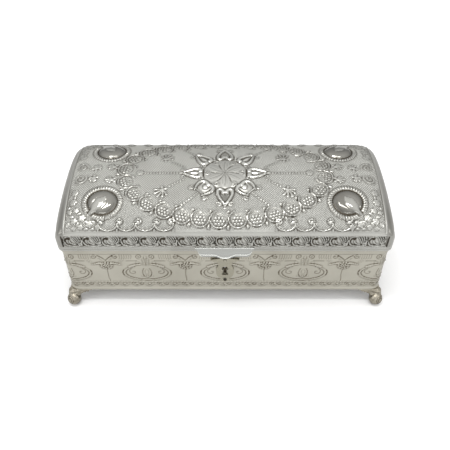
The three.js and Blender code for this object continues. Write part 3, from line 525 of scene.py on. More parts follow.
section_shares = np.sin(np.linspace(0, math.pi / 2, 2000))
section_rise = (vault_height - lid_wall) * vault_curve(section_shares)
section_steps = np.hypot(np.diff(section_shares) * lid_half_y, np.diff(section_rise))
section_arcs = np.concatenate([[0], np.cumsum(section_steps)])
half_arc = section_arcs[-1]
edge_run = lid_wall - frieze_top


def lid_half_depth(x):
    """Half the lid's depth, less near its ends, where the corners are round."""
    past = np.clip((np.abs(x) - (lid_half_x - lid_corner)) / lid_corner, 0, 1)
    return lid_half_y - lid_corner * (1 - np.sqrt(1 - past ** 2))


def vault_places(along, across):
    """The lid's plain form. Along is the column's coordinate, in mm to the ridge and past it as
    a share of the way to the frieze, and across is the arc from the crown."""
    share = np.interp(np.abs(across), section_arcs, section_shares)
    lift = (vault_height - lid_wall) * vault_curve(share)
    end_turn = np.arccos(1 - (vault_height - frieze_top * vault_height / (lid_wall + lift)) / end_roll)
    past = np.clip(np.abs(along) - ridge_column, 0, 1)
    turn = np.where(np.abs(along) > ridge_column, ridge_turn + (end_turn - ridge_turn) * past,
                    np.clip((np.abs(along) - lid_half_x + end_roll) / end_roll, 0, None))
    x = np.minimum(np.abs(along), lid_half_x - end_roll) + end_roll * np.sin(turn)
    shrink = (vault_height - end_roll * (1 - np.cos(turn))) / vault_height
    wall_share = np.clip((np.abs(across) - half_arc) / edge_run, 0, 1)
    z = shrink * (lid_wall + lift)
    z = z + (frieze_top - z) * wall_share
    y = np.sign(across) * share * lid_half_depth(x)
    return np.stack([np.sign(along) * x, y, lid_low.z + z], -1)


def outward(places):
    """Directions square to a grid of places."""
    first, second = np.gradient(places, axis=1), np.gradient(places, axis=0)
    square = np.cross(first, second)
    return square / np.maximum(np.linalg.norm(square, axis=-1, keepdims=True), 1e-9)


def axes_at(angle):
    """The directions outwards at an angle and square to it."""
    out = np.array([math.cos(angle), math.sin(angle)])
    return out, np.array([-out[1], out[0]])


def small_flower(work, x, y, size, petals=6):
    """Round petals about a bead."""
    for k in range(petals):
        petal = (x, y) + 0.62 * size * axes_at(2 * math.pi * k / petals)[0]
        work.bead(*petal, 0.42 * size, 0.45)
    work.bead(x, y, 0.34 * size, 0.54)


def pearls(work, start, end, pitch=2.0, radius=0.7):
    """A row of small beads from one place to another."""
    start, end = np.array(start), np.array(end)
    count = max(2, round(np.linalg.norm(end - start) / pitch) + 1)
    for share in np.linspace(0, 1, count):
        work.bead(*(start + (end - start) * share), radius, 0.5)


def spray(work, x, y, angle, size):
    """A small bunch of leaves and buds."""
    for k in range(-2, 3):
        turn = angle + 0.52 * k
        reach = (5.4 - 0.7 * abs(k)) * size
        tip = (x, y) + reach * axes_at(turn)[0]
        guide = (x, y) + 0.5 * reach * axes_at(turn + 0.25)[0]
        work.line(bend((x, y), guide, tip), (0.6, 1.3), 0.5)
        work.bead(*tip, 0.75, 0.6)
    work.bead(x, y, 1.2, 0.6)
    for k in (-1, 1):
        turn = angle + math.pi + 0.7 * k
        work.bead(*((x, y) + 2.1 * axes_at(turn)[0]), 0.8, 0.5, 1.6, turn)


rosette_disc, rosette_ring, rosette_reach = 15.0, 14.3, 14.6


def rosette(work):
    """Six veined petals with curled ends, on a low disc in the middle of the lid."""
    work.bead(0, 0, rosette_disc, 0.4)
    for k in range(6):
        angle = math.radians(90 + 60 * k)
        out, side = axes_at(angle)
        gap = axes_at(angle + math.pi / 6)[0]
        work.bead(*(out * 7.2), 3.1, 0.2, 2.1, angle, on_top=True)
        work.line(bend(out * 1.5, out * 6 + side * 0.9, out * 11.5), (0.7, 0.6), -0.18)
        for hand in (-1, 1):
            vein = bend(out * 2.5, out * 6.5 + side * hand * 2.3, out * 11.0 + side * hand * 1.2)
            work.line(vein, 0.4, -0.1)
        work.line(bend((0, 0), gap * 5.5 + side * 0.9, gap * 9.5 - side * 0.8), 0.8, -0.26)
        work.line(spiral(*(gap * 11.6), 2.3, 1.25, angle - 0.6), (0.9, 0.6), 0.34, on_top=True)
    work.line(arc(0, 0, rosette_ring, rosette_ring, 0, 360, 60), 0.8, -0.14)
    work.bead(0, 0, 1.4, 0.3, on_top=True)


def from_rosette(angle, hand=1):
    """A function that gives places by how far across and how far beyond the rosette they are."""
    out, side = axes_at(angle)
    return lambda across, away: out * (rosette_reach + away) + side * hand * across


def bud(work, angle):
    """Three polished lobes that close to a point, and two curls where they start."""
    for hand in (-1, 1):
        at = from_rosette(angle, hand)
        lobe = bend(at(1.6, 1.6), at(5.2, 1.4), at(4.6, 6.4), at(0.6, 12.6), steps=12)
        work.line(lobe, (3.3, 1.4), 1.0, polish=True)
        work.line(spiral(*at(4.8, 0.6), 1.7, 1.1, angle + hand * 1.2, -hand), 0.8, 0.5)
        work.line(spiral(*at(3.3, 13.6), 1.5, 1.1, angle + hand * 2.4, hand), 0.7, 0.45)
    at = from_rosette(angle)
    work.bead(*at(0, 6.0), 3.4, 0.3, 1.8, angle)
    work.bead(*at(0, 5.6), 1.25, 0.95, 2.9, angle, polish=True)
    work.bead(*at(0, 14.2), 0.75, 0.6, 1.5, angle)


def bell(work, angle):
    """A bell flower: two polished crescents round a cup, a bar across and curls at the rim."""
    for hand in (-1, 1):
        at = from_rosette(angle, hand)
        crescent = bend(at(0, 0.8), at(6.2, -1.4), at(7.0, 4.6), at(3.4, 9.8), steps=12)
        work.line(crescent, (3.0, 1.3), 1.0, polish=True)
        work.line(spiral(*at(6.4, 10.6), 1.9, 1.25, angle + hand * 2.4, hand), 0.85, 0.55)
        work.line(bend(at(0.6, 6.6), at(3.4, 5.4), at(3.2, 1.8)), (0.8, 0.9), 0.55)
    at = from_rosette(angle)
    work.bead(*at(0, 4.4), 4.2, 0.3, 1.2, angle)
    work.bead(*at(0, 3.4), 1.8, 0.85, 1.1, angle, polish=True)
    work.line([at(-3.6, 8.8), at(3.6, 8.8)], 0.8, 0.6)
    pearls(work, at(0, 10.6), at(0, 13.4), 1.5, 0.62)


def heart(work, angle):
    """A heart of two polished strips round a dark middle, with curls at its point."""
    for hand in (-1, 1):
        at = from_rosette(angle, hand)
        strip = bend(at(1.0, 3.2), at(1.8, -1.8), at(7.6, -0.8), at(5.6, 5.6), at(0.3, 12.2), steps=14)
        work.line(strip, (2.5, 1.7), 1.0, polish=True)
        work.line(spiral(*at(3.9, 12.2), 1.8, 1.3, angle + hand * 2.2, hand), 0.8, 0.5)
    at = from_rosette(angle)
    work.bead(*at(0, 2.6), 1.1, 0.8, 1.5, angle + math.pi / 2, polish=True)
    pit = work.window(np.minimum(at(-2, 4), at(2, 10)), np.maximum(at(-2, 4), at(2, 10)))
    work.dark[pit] = np.maximum(work.dark[pit], 0.5 * (work.height[pit] < 0.3))
    pearls(work, at(0, 13.4), at(0, 15.2), 1.6, 0.6)


wreath_x, wreath_y, wreath_count = 66.0, 37.3, 28
ring_radius, ring_bead_pitch = 5.35, 2.05
ring_lines = ((1.2, -150, 130, 26, 0.7, -0.3), (0.4, -160, 110, 26, 0.85, 0.6),
              (-1.2, 60, 230, 18, 0.65, -0.2))
ring_beads = ((-0.7, 3), (1.3, 4), (3.2, 3))


def wreath(work):
    """Linked rings filled with beads, set along an oval."""
    cosines, sines = (wave(np.linspace(0, 2 * math.pi, 4001)) for wave in (np.cos, np.sin))
    oval = np.stack([wreath_x * np.sign(cosines) * np.abs(cosines) ** 0.94,
                     wreath_y * np.sign(sines) * np.abs(sines) ** 0.97], -1)
    runs = np.concatenate([[0], np.cumsum(np.linalg.norm(np.diff(oval, axis=0), axis=1))])
    step = runs[-1] / wreath_count
    first = runs[3000] - 3.8
    for k in range(wreath_count):
        here = (first + k * step) % runs[-1]
        centre, ahead, behind, link = (
            np.array([np.interp((here + past) % runs[-1], runs, oval[:, i]) for i in (0, 1)])
            for past in (0, 1, -1, step / 2))
        away = math.atan2(*(ahead - behind)[::-1]) - math.pi / 2
        out, side = axes_at(away)
        turn = math.degrees(away)
        for grown, start, end, steps, width, rise in ring_lines:
            radius = ring_radius + grown
            work.line(arc(*centre, radius, radius, turn + start, turn + end, steps), width, rise)
        work.line(spiral(*(centre - 2.4 * out), 2.0, 0.9, away + 0.6), 0.65, -0.2)
        for row, count in ring_beads:
            for j in range(count):
                beside = (j - (count - 1) / 2) * ring_bead_pitch
                work.bead(*(centre + row * out + beside * side), 0.72, 0.5)
        work.bead(*(link + 5.4 * out), 0.85, 0.8, 1.7, away)
        work.bead(*(link - 5.2 * out), 0.9, 0.6)


scallop_pitch = 12.0
scallop_x = (38.6, 50.4, 62.3, 74.2)
scallop_low, scallop_high = 44.6, 40.2


def scallops(work, side, end):
    """Hanging scallops with a scroll at their outer shoulder, along one half of one edge."""
    half, depth = scallop_pitch / 2, scallop_low - scallop_high
    for place in scallop_x:
        def at(across, up):
            return end * (place + across), side * up

        for inset, steps, width, rise in ((0, 16, 1.0, 0.62), (1.2, 14, 0.5, 0.25)):
            swag = arc(*at(0, scallop_high), half - inset, (depth - inset) * side, 0, 180, steps)
            work.line(swag, width, rise)
        for hand in (1, -1) if place == scallop_x[0] else (1,):
            centre = at(hand * (half - 1.7), scallop_high - 1.2)
            start = 0 if end * hand > 0 else math.pi
            work.line(spiral(*centre, 2.1, 1.1, start, -side * end * hand, 0.4), 0.9, 0.7)
            work.bead(*centre, 0.8, 0.75)
        work.bead(*at(half, scallop_low - 0.2), 0.6, 0.5, 1.7, math.pi / 2)
    work.bead(end * (scallop_x[0] - half), side * (scallop_low - 0.2), 0.6, 0.5, 1.7, math.pi / 2)


boss_x, boss_y, boss_rise = 78.7, 25.1, 2.5
boss_half_x, boss_half_y = 9.3, 8.7
rope_radius, rope_half, rope_rise, rope_ribs = 11.4, 1.45, 0.95, 40
tongue_turn, tongue_start, tongue_end = 0.86, -3.5, 13.5


def boss(work, end, side):
    """A polished shell-like boss with a tongue to the corner, inside a ribbed rope that opens
    where the tongue passes. Its dome is painted dark, less on the tongue, with a darker crescent,
    fold and ring, as painted reflection and shade."""
    x, y, reach = end * boss_x, side * boss_y, rope_radius + 2
    part = work.window((x - reach, y - reach), (x + reach, y + reach))
    across, up = (work.x[part] - x) * end, (work.y[part] - y) * side
    distance, angle = np.hypot(across, up), np.arctan2(up, across)
    height, dark = work.height[part], work.dark[part]
    work.ground[part][distance < rope_radius + 1.4] = 0
    off = (distance - rope_radius) / rope_half
    ribs = 0.69 + 0.31 * np.cos(rope_ribs * angle + 1.6 * off)
    gap = np.clip((np.abs(angle - tongue_turn) - 0.16) / 0.1, 0, 1)
    rope = np.sqrt(np.clip(1 - off ** 2, 0, 1)) * ribs * gap
    np.maximum(height, rope_rise * rope, out=height)
    np.maximum(dark, (rope > 0.02) * (1 - ribs) * 0.5, out=dark)
    shell = np.clip(1 - (across / boss_half_x) ** 2 - (up / boss_half_y) ** 2, 0, 1)
    along = across * math.cos(tongue_turn) + up * math.sin(tongue_turn)
    beside = np.abs(up * math.cos(tongue_turn) - across * math.sin(tongue_turn))
    wide = np.interp(along, [tongue_start, 0.5, 5, tongue_end], [0.1, 3.1, 2.6, 0.5])
    keel = np.interp(along, [tongue_start, 0, 8, tongue_end], [boss_rise, boss_rise + 0.1, 1.7, 0.35])
    tongue = np.sqrt(np.clip(1 - (beside / wide) ** 2, 0, 1)) * (along > tongue_start) * (along < tongue_end)
    fold = np.exp(-((beside - wide - 0.45) / 0.45) ** 2) * (along > -2.5) * (along < 10) * (shell > 0)
    crescent_dent_and_shade = np.exp(-((distance - 8.0) / 0.8) ** 2) * np.clip(np.cos(angle - 2.55) * 2.4 - 1.2, 0, 1)
    bulge = boss_rise * shell ** 0.42 - 0.55 * fold - 0.5 * crescent_dent_and_shade
    bulge = np.where(tongue > 0, np.maximum(bulge, keel * tongue ** 0.55), bulge)
    inside = (shell > 0) | (tongue > 0)
    # Painted reflection: the polished dome is darkened, less on its tongue, for the dark room it mirrors.
    np.maximum(dark, np.where(tongue > 0, 0.32, 0.7) * inside, out=dark)
    np.maximum(height, np.where(inside, bulge, 0), out=height)
    for axis in (0, 1, 0, 1):
        smooth = (np.roll(height, 1, axis) + 2 * height + np.roll(height, -1, axis)) / 4
        height[inside] = smooth[inside]
    work.polish[part][inside] = 1
    # Painted shade: a dark ring inside the rope with no groove under it, and a darker crescent dent and
    # fold.
    painted_shade_ring = np.exp(-((distance - 9.6) / 0.55) ** 2) * (tongue <= 0)
    for shade in (0.75 * painted_shade_ring, 0.9 * crescent_dent_and_shade, 0.55 * fold):
        np.maximum(dark, shade, out=dark)


end_flowers = ((97.2, 17.6, 2.3, 6), (97.4, 25.0, 2.5, 6), (94.6, 31.4, 1.9, 5), (99.0, 32.2, 1.7, 5),
               (90.4, 36.6, 2.3, 5), (95.4, 38.6, 2.1, 5), (99.6, 40.6, 1.7, 5), (85.8, 40.6, 2.2, 5),
               (91.2, 42.6, 1.7, 5), (80.4, 42.4, 1.8, 5), (95.8, 43.4, 1.4, 5))
end_leaves = ((92.6, 33.6, 0.6), (97.2, 35.4, -0.5), (88.0, 39.0, 0.3), (93.0, 40.4, 1.2), (87.6, 43.6, 0.2),
              (83.2, 39.2, -0.6), (99.6, 29.0, 1.2), (96.6, 21.3, 1.5), (83.6, 43.6, 0.1))


def end_motifs(work, end, side):
    """Paisley scroll, small rosettes and flower clusters between a boss and the end."""
    def at(x, y):
        return end * x, side * y

    work.line(spiral(*at(95.6, 5.6), 4.2, 1.5, math.pi if end > 0 else 0, -end * side), (1.1, 0.7), 0.4)
    work.line(bend(at(91.8, 3.2), at(90.4, 8.0), at(94.2, 11.2), at(98.8, 9.6)), (0.9, 0.6), 0.36)
    for x, y, size, petals in end_flowers:
        small_flower(work, *at(x, y), size, petals)
    for x, y, turn in end_leaves:
        work.bead(*at(x, y), 0.75, 0.5, 1.8, end * side * turn)
    pearls(work, at(100.8, 14.4), at(100.8, 36.0), 2.4, 0.55)
    spray(work, *at(86.4, 4.4), math.pi / 2 * side + 0.6 * end, 0.7)


def lid_ornament(work):
    """The pattern of the field: the rosette with eight flowers about it, the wreath, and in each
    quarter sprays, scallops, a boss and the motifs beyond it. Two lines frame it all."""
    ground_x, ground_y, edge = ridge_column - 1.4, half_arc - 2.6, half_arc - 1.2
    work.ground[:] = (np.abs(work.x) < ground_x) & (np.abs(work.y) < ground_y)
    rosette(work)
    wreath(work)
    for flower, turns in ((bud, (0, 180, 45, 135)), (bell, (-45, -135)), (heart, (90, -90))):
        for turn in turns:
            flower(work, math.radians(turn))
    for end in (-1, 1):
        pearls(work, (end * 30.0, 0), (end * 53.0, 0))
        small_flower(work, end * 56.4, 0.4, 2.4)
        for side in (-1, 1):
            pearls(work, (end * 27.6, side * 6.2), (end * 36.2, side * 12.0))
            spray(work, end * 40.6, side * 15.0, math.pi / 2 * side + 0.5 * end, 1.2)
            pearls(work, (end * 21.6, side * 21.6), (end * 27.8, side * 27.0))
            spray(work, end * 74.4, side * 6.4, math.pi / 2 * (1 - end), 0.75)
            scallops(work, side, end)
            boss(work, end, side)
            end_motifs(work, end, side)
    for side in (-1, 1):
        work.line([(-ridge_column, side * edge), (ridge_column, side * edge)], 0.6, 0.2)
        work.line([(side * ridge_column, -edge), (side * ridge_column, edge)], 1.1, 0.42)


def vault_underside(columns, rows):
    """The plain underside of the vault, one thickness of sheet inside, and its coarse grid."""
    picks = [np.append(np.arange(0, len(line) - 1, under_step), len(line) - 1) for line in (rows, columns)]
    plain = vault_places(*np.meshgrid(columns, rows))
    under = (plain - outward(plain) * lid_thick)[np.ix_(*picks)]
    plain = plain[np.ix_(*picks)]
    for edge in (np.s_[0], np.s_[-1], np.s_[:, 0], np.s_[:, -1]):
        under[edge] = plain[edge] * (1 - lid_thick / lid_half_x, 1 - lid_thick / lid_half_y, 1)
    under[..., 2] = np.maximum(under[..., 2], lid_low.z + frieze_top)
    return under, *picks


def make_vault():
    """The chased field with a bright strip along its two edges and a plain band at each end, laid
    over its plain underside."""
    band_steps, band_dark, band_polish = 12, 0.36, 0.2
    strip_out, strip_wide, strip_polish = 0.6, 1.3, 0.8
    field = np.linspace(-ridge_column, ridge_column, round(2 * ridge_column / vault_pitch) + 1)
    band = np.linspace(0, 1, band_steps + 1)[1:]
    columns = np.concatenate([-ridge_column - band[::-1], field, ridge_column + band])
    reach = half_arc + edge_run
    rows = np.linspace(-reach, reach, round(2 * reach / vault_pitch) + 1)
    work = Chasing(columns, rows)
    lid_ornament(work)
    strip = np.exp(-((np.abs(work.y) - half_arc - strip_out) / strip_wide) ** 2)
    work.polish = np.maximum(work.polish, strip_polish * strip)
    beyond = np.clip((np.abs(work.x) - ridge_column) * 8, 0, 1)
    work.height *= 1 - beyond
    work.finish_dark(0.22)
    # The end bands are set darker than the field: a duller tone that is partly painted shade on the
    # rolled-over ends.
    work.dark = 0.8 * work.dark * (1 - beyond) + band_dark * beyond
    work.polish = np.maximum(work.polish, band_polish * beyond)
    plain = vault_places(work.x, work.y)
    places = plain + outward(plain) * work.height[..., None]
    return sheet_piece("lid_vault", places, work.marks(), np.stack([work.x, work.y], -1), lid_silver,
                       vault_underside(columns, rows))


lid_silver = chased_silver("silver_plate", "#d1d1cb", "#4a443a", 0.28, 1.15)
lid_vault = make_vault()
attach(lid_vault, "lid")
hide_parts("lid_shell")


# Lid shell, lower part: the frieze, a sunk channel of running scrolls round the lid between plain
# corner posts, and the plain lip that meets the base. It is the same pressing as the vault, and
# its recesses keep the darkest tarnish of the whole box.

channel_low, channel_high, channel_depth = 4.2, frieze_top, 0.9
channel_end_inset = 4.2
frieze_pitch, scroll_count = 0.45, 17
scroll_margin, scroll_width = 3.4, 12.1
lip_top, lip_back = 3.0, 2.0
# Lip rows: level, inset and dark. The dark is tarnish in the lip's two grooves, a light painted shade on its
# plain face, and a deeper painted shade along its lower edge, underside and inner top edge.
lip_rows = ((channel_low - 0.1, 0.25, 0.5), (channel_low - 0.3, 0.05, 0.2), (channel_low - 1.0, 0.0, 0.12),
            (channel_low - 1.7, 0.06, 0.2), (channel_low - 2.0, 0.2, 0.5), (channel_low - 2.3, 0.06, 0.2),
            (channel_low - 3.0, 0.0, 0.12), (channel_low - 3.7, 0.05, 0.2), (0.12, 0.16, 0.4),
            (0.0, 0.4, 0.8), (0.0, 1.9, 0.4), (0.3, lip_back, 0.2), (channel_high - 0.05, lip_back, 0.2),
            (channel_high - 0.05, 0.9, 0.6))


def lid_inset(x, y, out_x, out_y, level):
    """How far the lid's rolled ends draw the wall in at a level above the lid's bottom."""
    low, high = np.zeros_like(x), np.full_like(x, 6.0)
    for _ in range(24):
        middle = (low + high) / 2
        at_x, at_y = x - middle * out_x, y - middle * out_y
        past = np.clip((np.abs(at_x) - lid_half_x + end_roll) / end_roll, 0, 1)
        shrink = (vault_height - end_roll * (1 - np.sqrt(1 - past ** 2))) / vault_height
        share = np.abs(at_y) / lid_half_depth(at_x)
        top = shrink * (lid_wall + (vault_height - lid_wall) * vault_curve(share))
        inside = (share <= 1.0001) & (top >= level)
        high = np.where(inside, middle, high)
        low = np.where(inside, low, middle)
    return high


def running_scroll(work, x, middle, size):
    """One wave of the frieze: a hooked scroll, a fan of leaf ribs and the stem under them."""
    def at(across, up):
        return x + across * size, middle + up

    work.bead(*at(0.8, 0.2), 3.6, 0.16, 1.4)
    work.line(bend(at(-4.4, -3.6), at(-6.6, -0.6), at(-6.0, 4.2), at(-1.6, 4.4), steps=10), (1.1, 0.9), 0.8)
    for k in range(4):
        rib = bend(at(1.75 * k - 1.0, 4.4), at(1.5 * k + 0.9, 3.2), at(1.2 * k + 1.8, -0.2),
                   at(0.75 * k + 3.2, -3.2))
        work.line(rib, (0.95, 0.75), 0.75)
    work.line(bend(at(-2.6, 2.2), at(-4.0, 3.2), at(-5.4, 0.8), at(-4.6, -1.4)), (3.0, 0.5), -0.75)
    work.line(bend(at(-4.8, -3.2), at(-2.0, -5.0), at(2.2, -5.0), at(5.6, -3.6)), (0.9, 1.0), 0.8)
    work.line(bend(at(-2.2, 0.6), at(-2.6, -2.8), at(1.6, -3.0)), (1.3, 0.8), 0.7)


def frieze_ornament(work, total, long_run, short_run):
    """Waves along the four sides of the channel, and a fine wire along its two edges."""
    wire_rise, wire_wide = 0.5, 0.35
    step = (long_run - scroll_margin) / scroll_count
    for quarters, run in ((0, long_run), (2, long_run), (-2, long_run), (1, short_run), (-1, short_run)):
        count = round((run - scroll_margin) / step)
        width = (run - scroll_margin) / count
        for k in range(count):
            x = quarters * total / 4 + (k - (count - 1) / 2) * width
            running_scroll(work, x, (channel_low + channel_high) / 2, width / scroll_width)
    from_edge = np.minimum(work.y - channel_low, channel_high - work.y)
    work.height = np.maximum(work.height, wire_rise * np.exp(-(from_edge / wire_wide) ** 2))


def make_frieze():
    """The channel between its corner posts, then the lip, the plain inside and the top edge, each
    row by its level, how far in it lies and how dark it is."""
    post_fade, groove_in, groove_wide = 0.45, 0.7, 0.5
    total = girth(lid_half_x, lid_half_y, lid_corner)
    columns = np.linspace(-total / 2, total / 2, round(total / frieze_pitch) + 1)
    face = np.linspace(channel_low, channel_high, round((channel_high - channel_low) / frieze_pitch) + 1)
    work = Chasing(columns, face)
    long_run, short_run = (2 * (half - channel_end_inset) for half in (lid_half_x, lid_half_y))
    frieze_ornament(work, total, long_run, short_run)
    work.finish_dark(0.32)
    x0, y0, out_x, out_y = around(columns, lid_half_x, lid_half_y, lid_corner)
    on_long, on_short = np.abs(out_y) > 0.999, np.abs(out_x) > 0.999
    edge = np.where(on_long, long_run / 2 - np.abs(x0), np.where(on_short, short_run / 2 - np.abs(y0), -1))
    sunk = np.clip(edge / post_fade, 0, 1)
    groove = np.exp(-((edge - groove_in) / groove_wide) ** 2)
    rows = []
    for level, height, dark in zip(face[::-1], work.height[::-1], work.dark[::-1]):
        dark = np.clip(np.maximum(dark, groove) * sunk + 0.34 - 0.26 * sunk, 0, 1)
        rows.append((level, (channel_depth - height) * sunk, dark))
    rows += [(level, inset, np.full_like(columns, dark)) for level, inset, dark in lip_rows]
    places, darks = [], []
    for level, inset, dark in rows:
        away = lid_inset(x0, y0, out_x, out_y, level) + inset
        x, y = x0 - away * out_x, y0 - away * out_y
        z = np.full_like(x, lid_low.z + level)
        if level < lip_top:
            near = by_hinges(x, y)
            z = np.where(near, np.maximum(z, lid_low.z + strap_room + kept_apart * level), z)
            y = np.where(near, np.minimum(y, knuckle_line(z)), y)
        places.append(np.stack([x, y, z], -1))
        darks.append(dark)
    places, dark = np.stack([*places, places[0]]), np.stack([*darks, darks[0]])
    marks = np.stack([dark, np.zeros_like(dark), 0.6 * (1 - dark), np.ones_like(dark)], -1)
    flat = flat_layout(columns, len(places), frieze_pitch)
    return sheet_piece("lid_frieze", places, marks, flat, lid_silver)


lid_frieze = make_frieze()
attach(lid_frieze, "lid")
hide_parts("lid_shell")


# Lifting tab: a polished plate of silver-plated sheet with a scalloped lower edge, soldered to the
# middle of the lid's lip under the frieze. It is flared outwards below, so that a finger finds it.

def plain_metal(name, colour, rough, marks=0.05):
    """Smooth metal with faint handling marks in its shine, about 6 mm across."""
    made = bpy.data.materials.new(name)
    node = empty_nodes(made)
    place = node("TexCoord").outputs["Object"]
    cloud = node("TexNoise", Vector=place, Scale=160.0, Detail=5.0)
    gloss = node("MapRange", Value=cloud, _1=0.3, _2=0.7, _3=rough - marks, _4=rough + marks)
    grain = node("TexNoise", Vector=place, Scale=1400.0, Detail=2.0)
    bump = node("Bump", Strength=0.04, Distance=0.0002, Height=grain)
    shader = node("BsdfPrincipled", Base_Color=linear(colour), Metallic=1.0,
                  Roughness=gloss, Normal=bump)
    node("OutputMaterial", Surface=shader)
    return made


tab_half, tab_taper = 19.3, 2.3
tab_top, tab_shoulder, tab_lobe = 58.45, 51.9, 49.9
tab_sheet, tab_flare, tab_back = 0.95, 1.6, 42.72
corner_lift = 2.2
lobe_flat_share, lobe_flank_share = 0.06, 0.38
corner_share, round_share = 0.16, 0.024


def make_tab():
    """A section of sheet swept across the lip. Each row is a share of the height, a drop and a
    distance from the lip: over the top, down the face, round the lower edge and up the back."""
    def flare(share):
        return tab_flare * max(0, 1 - 1.9 * share) ** 2

    rows = [(1, 0.0, 0.0), (1, 0.0, 0.5), (1, 0.12, 0.8), (1, 0.4, tab_sheet)]
    rows += [(share, 0.0, tab_sheet + flare(share)) for share in np.linspace(0.9, 0.06, 14)]
    rows += [(0, drop, tab_flare + out)
             for drop, out in ((-0.05, 0.95), (0.2, 0.8), (0.32, 0.5), (0.2, 0.15), (-0.05, 0))]
    rows += [(share, 0.0, flare(share)) for share in np.linspace(0.08, 0.95, 9)]
    rows.append(rows[0])
    share, drop, out = np.array(rows).T[:, :, None]
    across = np.sin(np.linspace(-1, 1, 65) * math.pi / 2)
    from_middle = np.abs(across)
    lobe = 0.5 + 0.5 * np.cos(math.pi * np.clip((from_middle - lobe_flat_share) / lobe_flank_share, 0, 1))
    corner = np.clip((from_middle - 1 + corner_share) / corner_share, 0, 1)
    foot = tab_shoulder - (tab_shoulder - tab_lobe) * lobe + corner_lift * corner ** 2
    x = across * (tab_half - tab_taper * (1 - share) ** 1.4)
    rounded = np.sqrt(1 - 0.94 * np.clip((from_middle - 1 + round_share) / round_share, 0, 1) ** 2)
    middle = tab_sheet / 2 + np.clip(out - tab_sheet, 0, None)
    y = -tab_back - (middle + (out - middle) * rounded)
    z = foot + share * (tab_top - foot) - drop
    places = np.stack([x, y, z], -1) / 1000
    plate = bmesh.new()
    bmesh.ops.create_grid(plate, x_segments=len(across) - 1, y_segments=len(rows) - 1, size=1)
    for vert, place in zip(plate.verts, places.reshape(-1, 3)):
        vert.co = place
    bmesh.ops.remove_doubles(plate, verts=plate.verts, dist=1e-6)
    bmesh.ops.holes_fill(plate, edges=[e for e in plate.edges if e.is_boundary])
    bmesh.ops.recalc_face_normals(plate, faces=plate.faces)
    return as_object("lifting_tab", plate, polished_silver)


polished_silver = plain_metal("polished_silver_plate", "#b9bab6", 0.16)
lifting_tab = make_tab()
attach(lifting_tab, "lid")
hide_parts("thumb_tab")


# Keyhole plate: stamped silver plate with worn, slightly yellowed plating, held by two small
# round-headed pins in front of the lock, the lower one painted near-black as the shade of a hole.
# All three stay the CAD parts.

def dress(material, names, edge=0.0):
    """Gives CAD parts their material, and rounds their sharp edges by a length in mm."""
    for name in names:
        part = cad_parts[name]
        for place in part.material_slots:
            place.material = material
        if edge:
            joined = part.modifiers.new("joined", "WELD")
            joined.merge_threshold = 1e-6
            rounding = part.modifiers.new("soft_edges", "BEVEL")
            rounding.width = edge / 1000
            rounding.segments = 3
            rounding.limit_method = "ANGLE"
            rounding.angle_limit = math.radians(40)
            rounding.harden_normals = True


worn_silver = plain_metal("worn_silver_plate", "#aba798", 0.26, 0.08)
dress(worn_silver, ["escutcheon"], 0.25)
dress(worn_silver, ["escutcheon_pin_upper"])
# Painted shade: the lower pin is made near-black, standing for the shade of a hole.
pin_hole_shade_steel = plain_metal("steel_painted_as_hole_shade", "#4a463f", 0.34)
dress(pin_hole_shade_steel, ["escutcheon_pin_lower"])


# Feet: four castings, each a ball with a ring round its eye under a leafed scroll, with bracket
# wings along the two walls. A screw from inside holds each one. The plating is as on the base.

foot_voxel = 0.33
foot_eye = Vector((110.2, 47.0, 6.2)) / 1000
eye_ring = 2.3
foot_in = 2.2
leaf_lobes, corner_lobes = 5, 4


def cast_silver(name, silver, tarnish, rough):
    """Cast silver plate, tarnished in patches about 2 mm across, with a turned ring about the eye
    of each ball and a dark groove round the ring."""
    made = bpy.data.materials.new(name)
    node = empty_nodes(made)
    soft = {"interpolation_type": "SMOOTHSTEP"}
    place = node("TexCoord").outputs["Object"]
    mirrored = node("VectorMath", {"operation": "ABSOLUTE"}, _0=place)
    away = node("VectorMath", {"operation": "DISTANCE"}, _0=mirrored, _1=foot_eye)
    off = node("Math", {"operation": "SUBTRACT"}, _0=away.outputs["Value"], _1=eye_ring / 1000)
    size = node("Math", {"operation": "ABSOLUTE"}, _0=off)
    ring = node("MapRange", soft, Value=size, _1=0.0001, _2=0.0006, _3=1.0, _4=0.0)
    groove = node("MapRange", soft, Value=size, _1=0.0006, _2=0.0011, _3=0.75, _4=0.0)
    recess = node("Math", {"operation": "SUBTRACT", "use_clamp": True}, _0=groove, _1=ring)
    cloud = node("TexNoise", Vector=place, Scale=420.0, Detail=4.0)
    patch = node("MapRange", Value=cloud, _1=0.45, _2=0.7, _3=0.0, _4=0.5)
    stain = node("Math", {"operation": "ADD", "use_clamp": True}, _0=patch, _1=recess)
    tone = node("Mix", {"data_type": "RGBA"}, _0=stain, _6=linear(silver), _7=linear(tarnish))
    bump = node("Bump", Strength=0.9, Distance=0.0004, Height=ring)
    shader = node("BsdfPrincipled", Base_Color=tone.outputs[2], Metallic=1.0,
                  Roughness=rough, Normal=bump)
    node("OutputMaterial", Surface=shader)
    return made


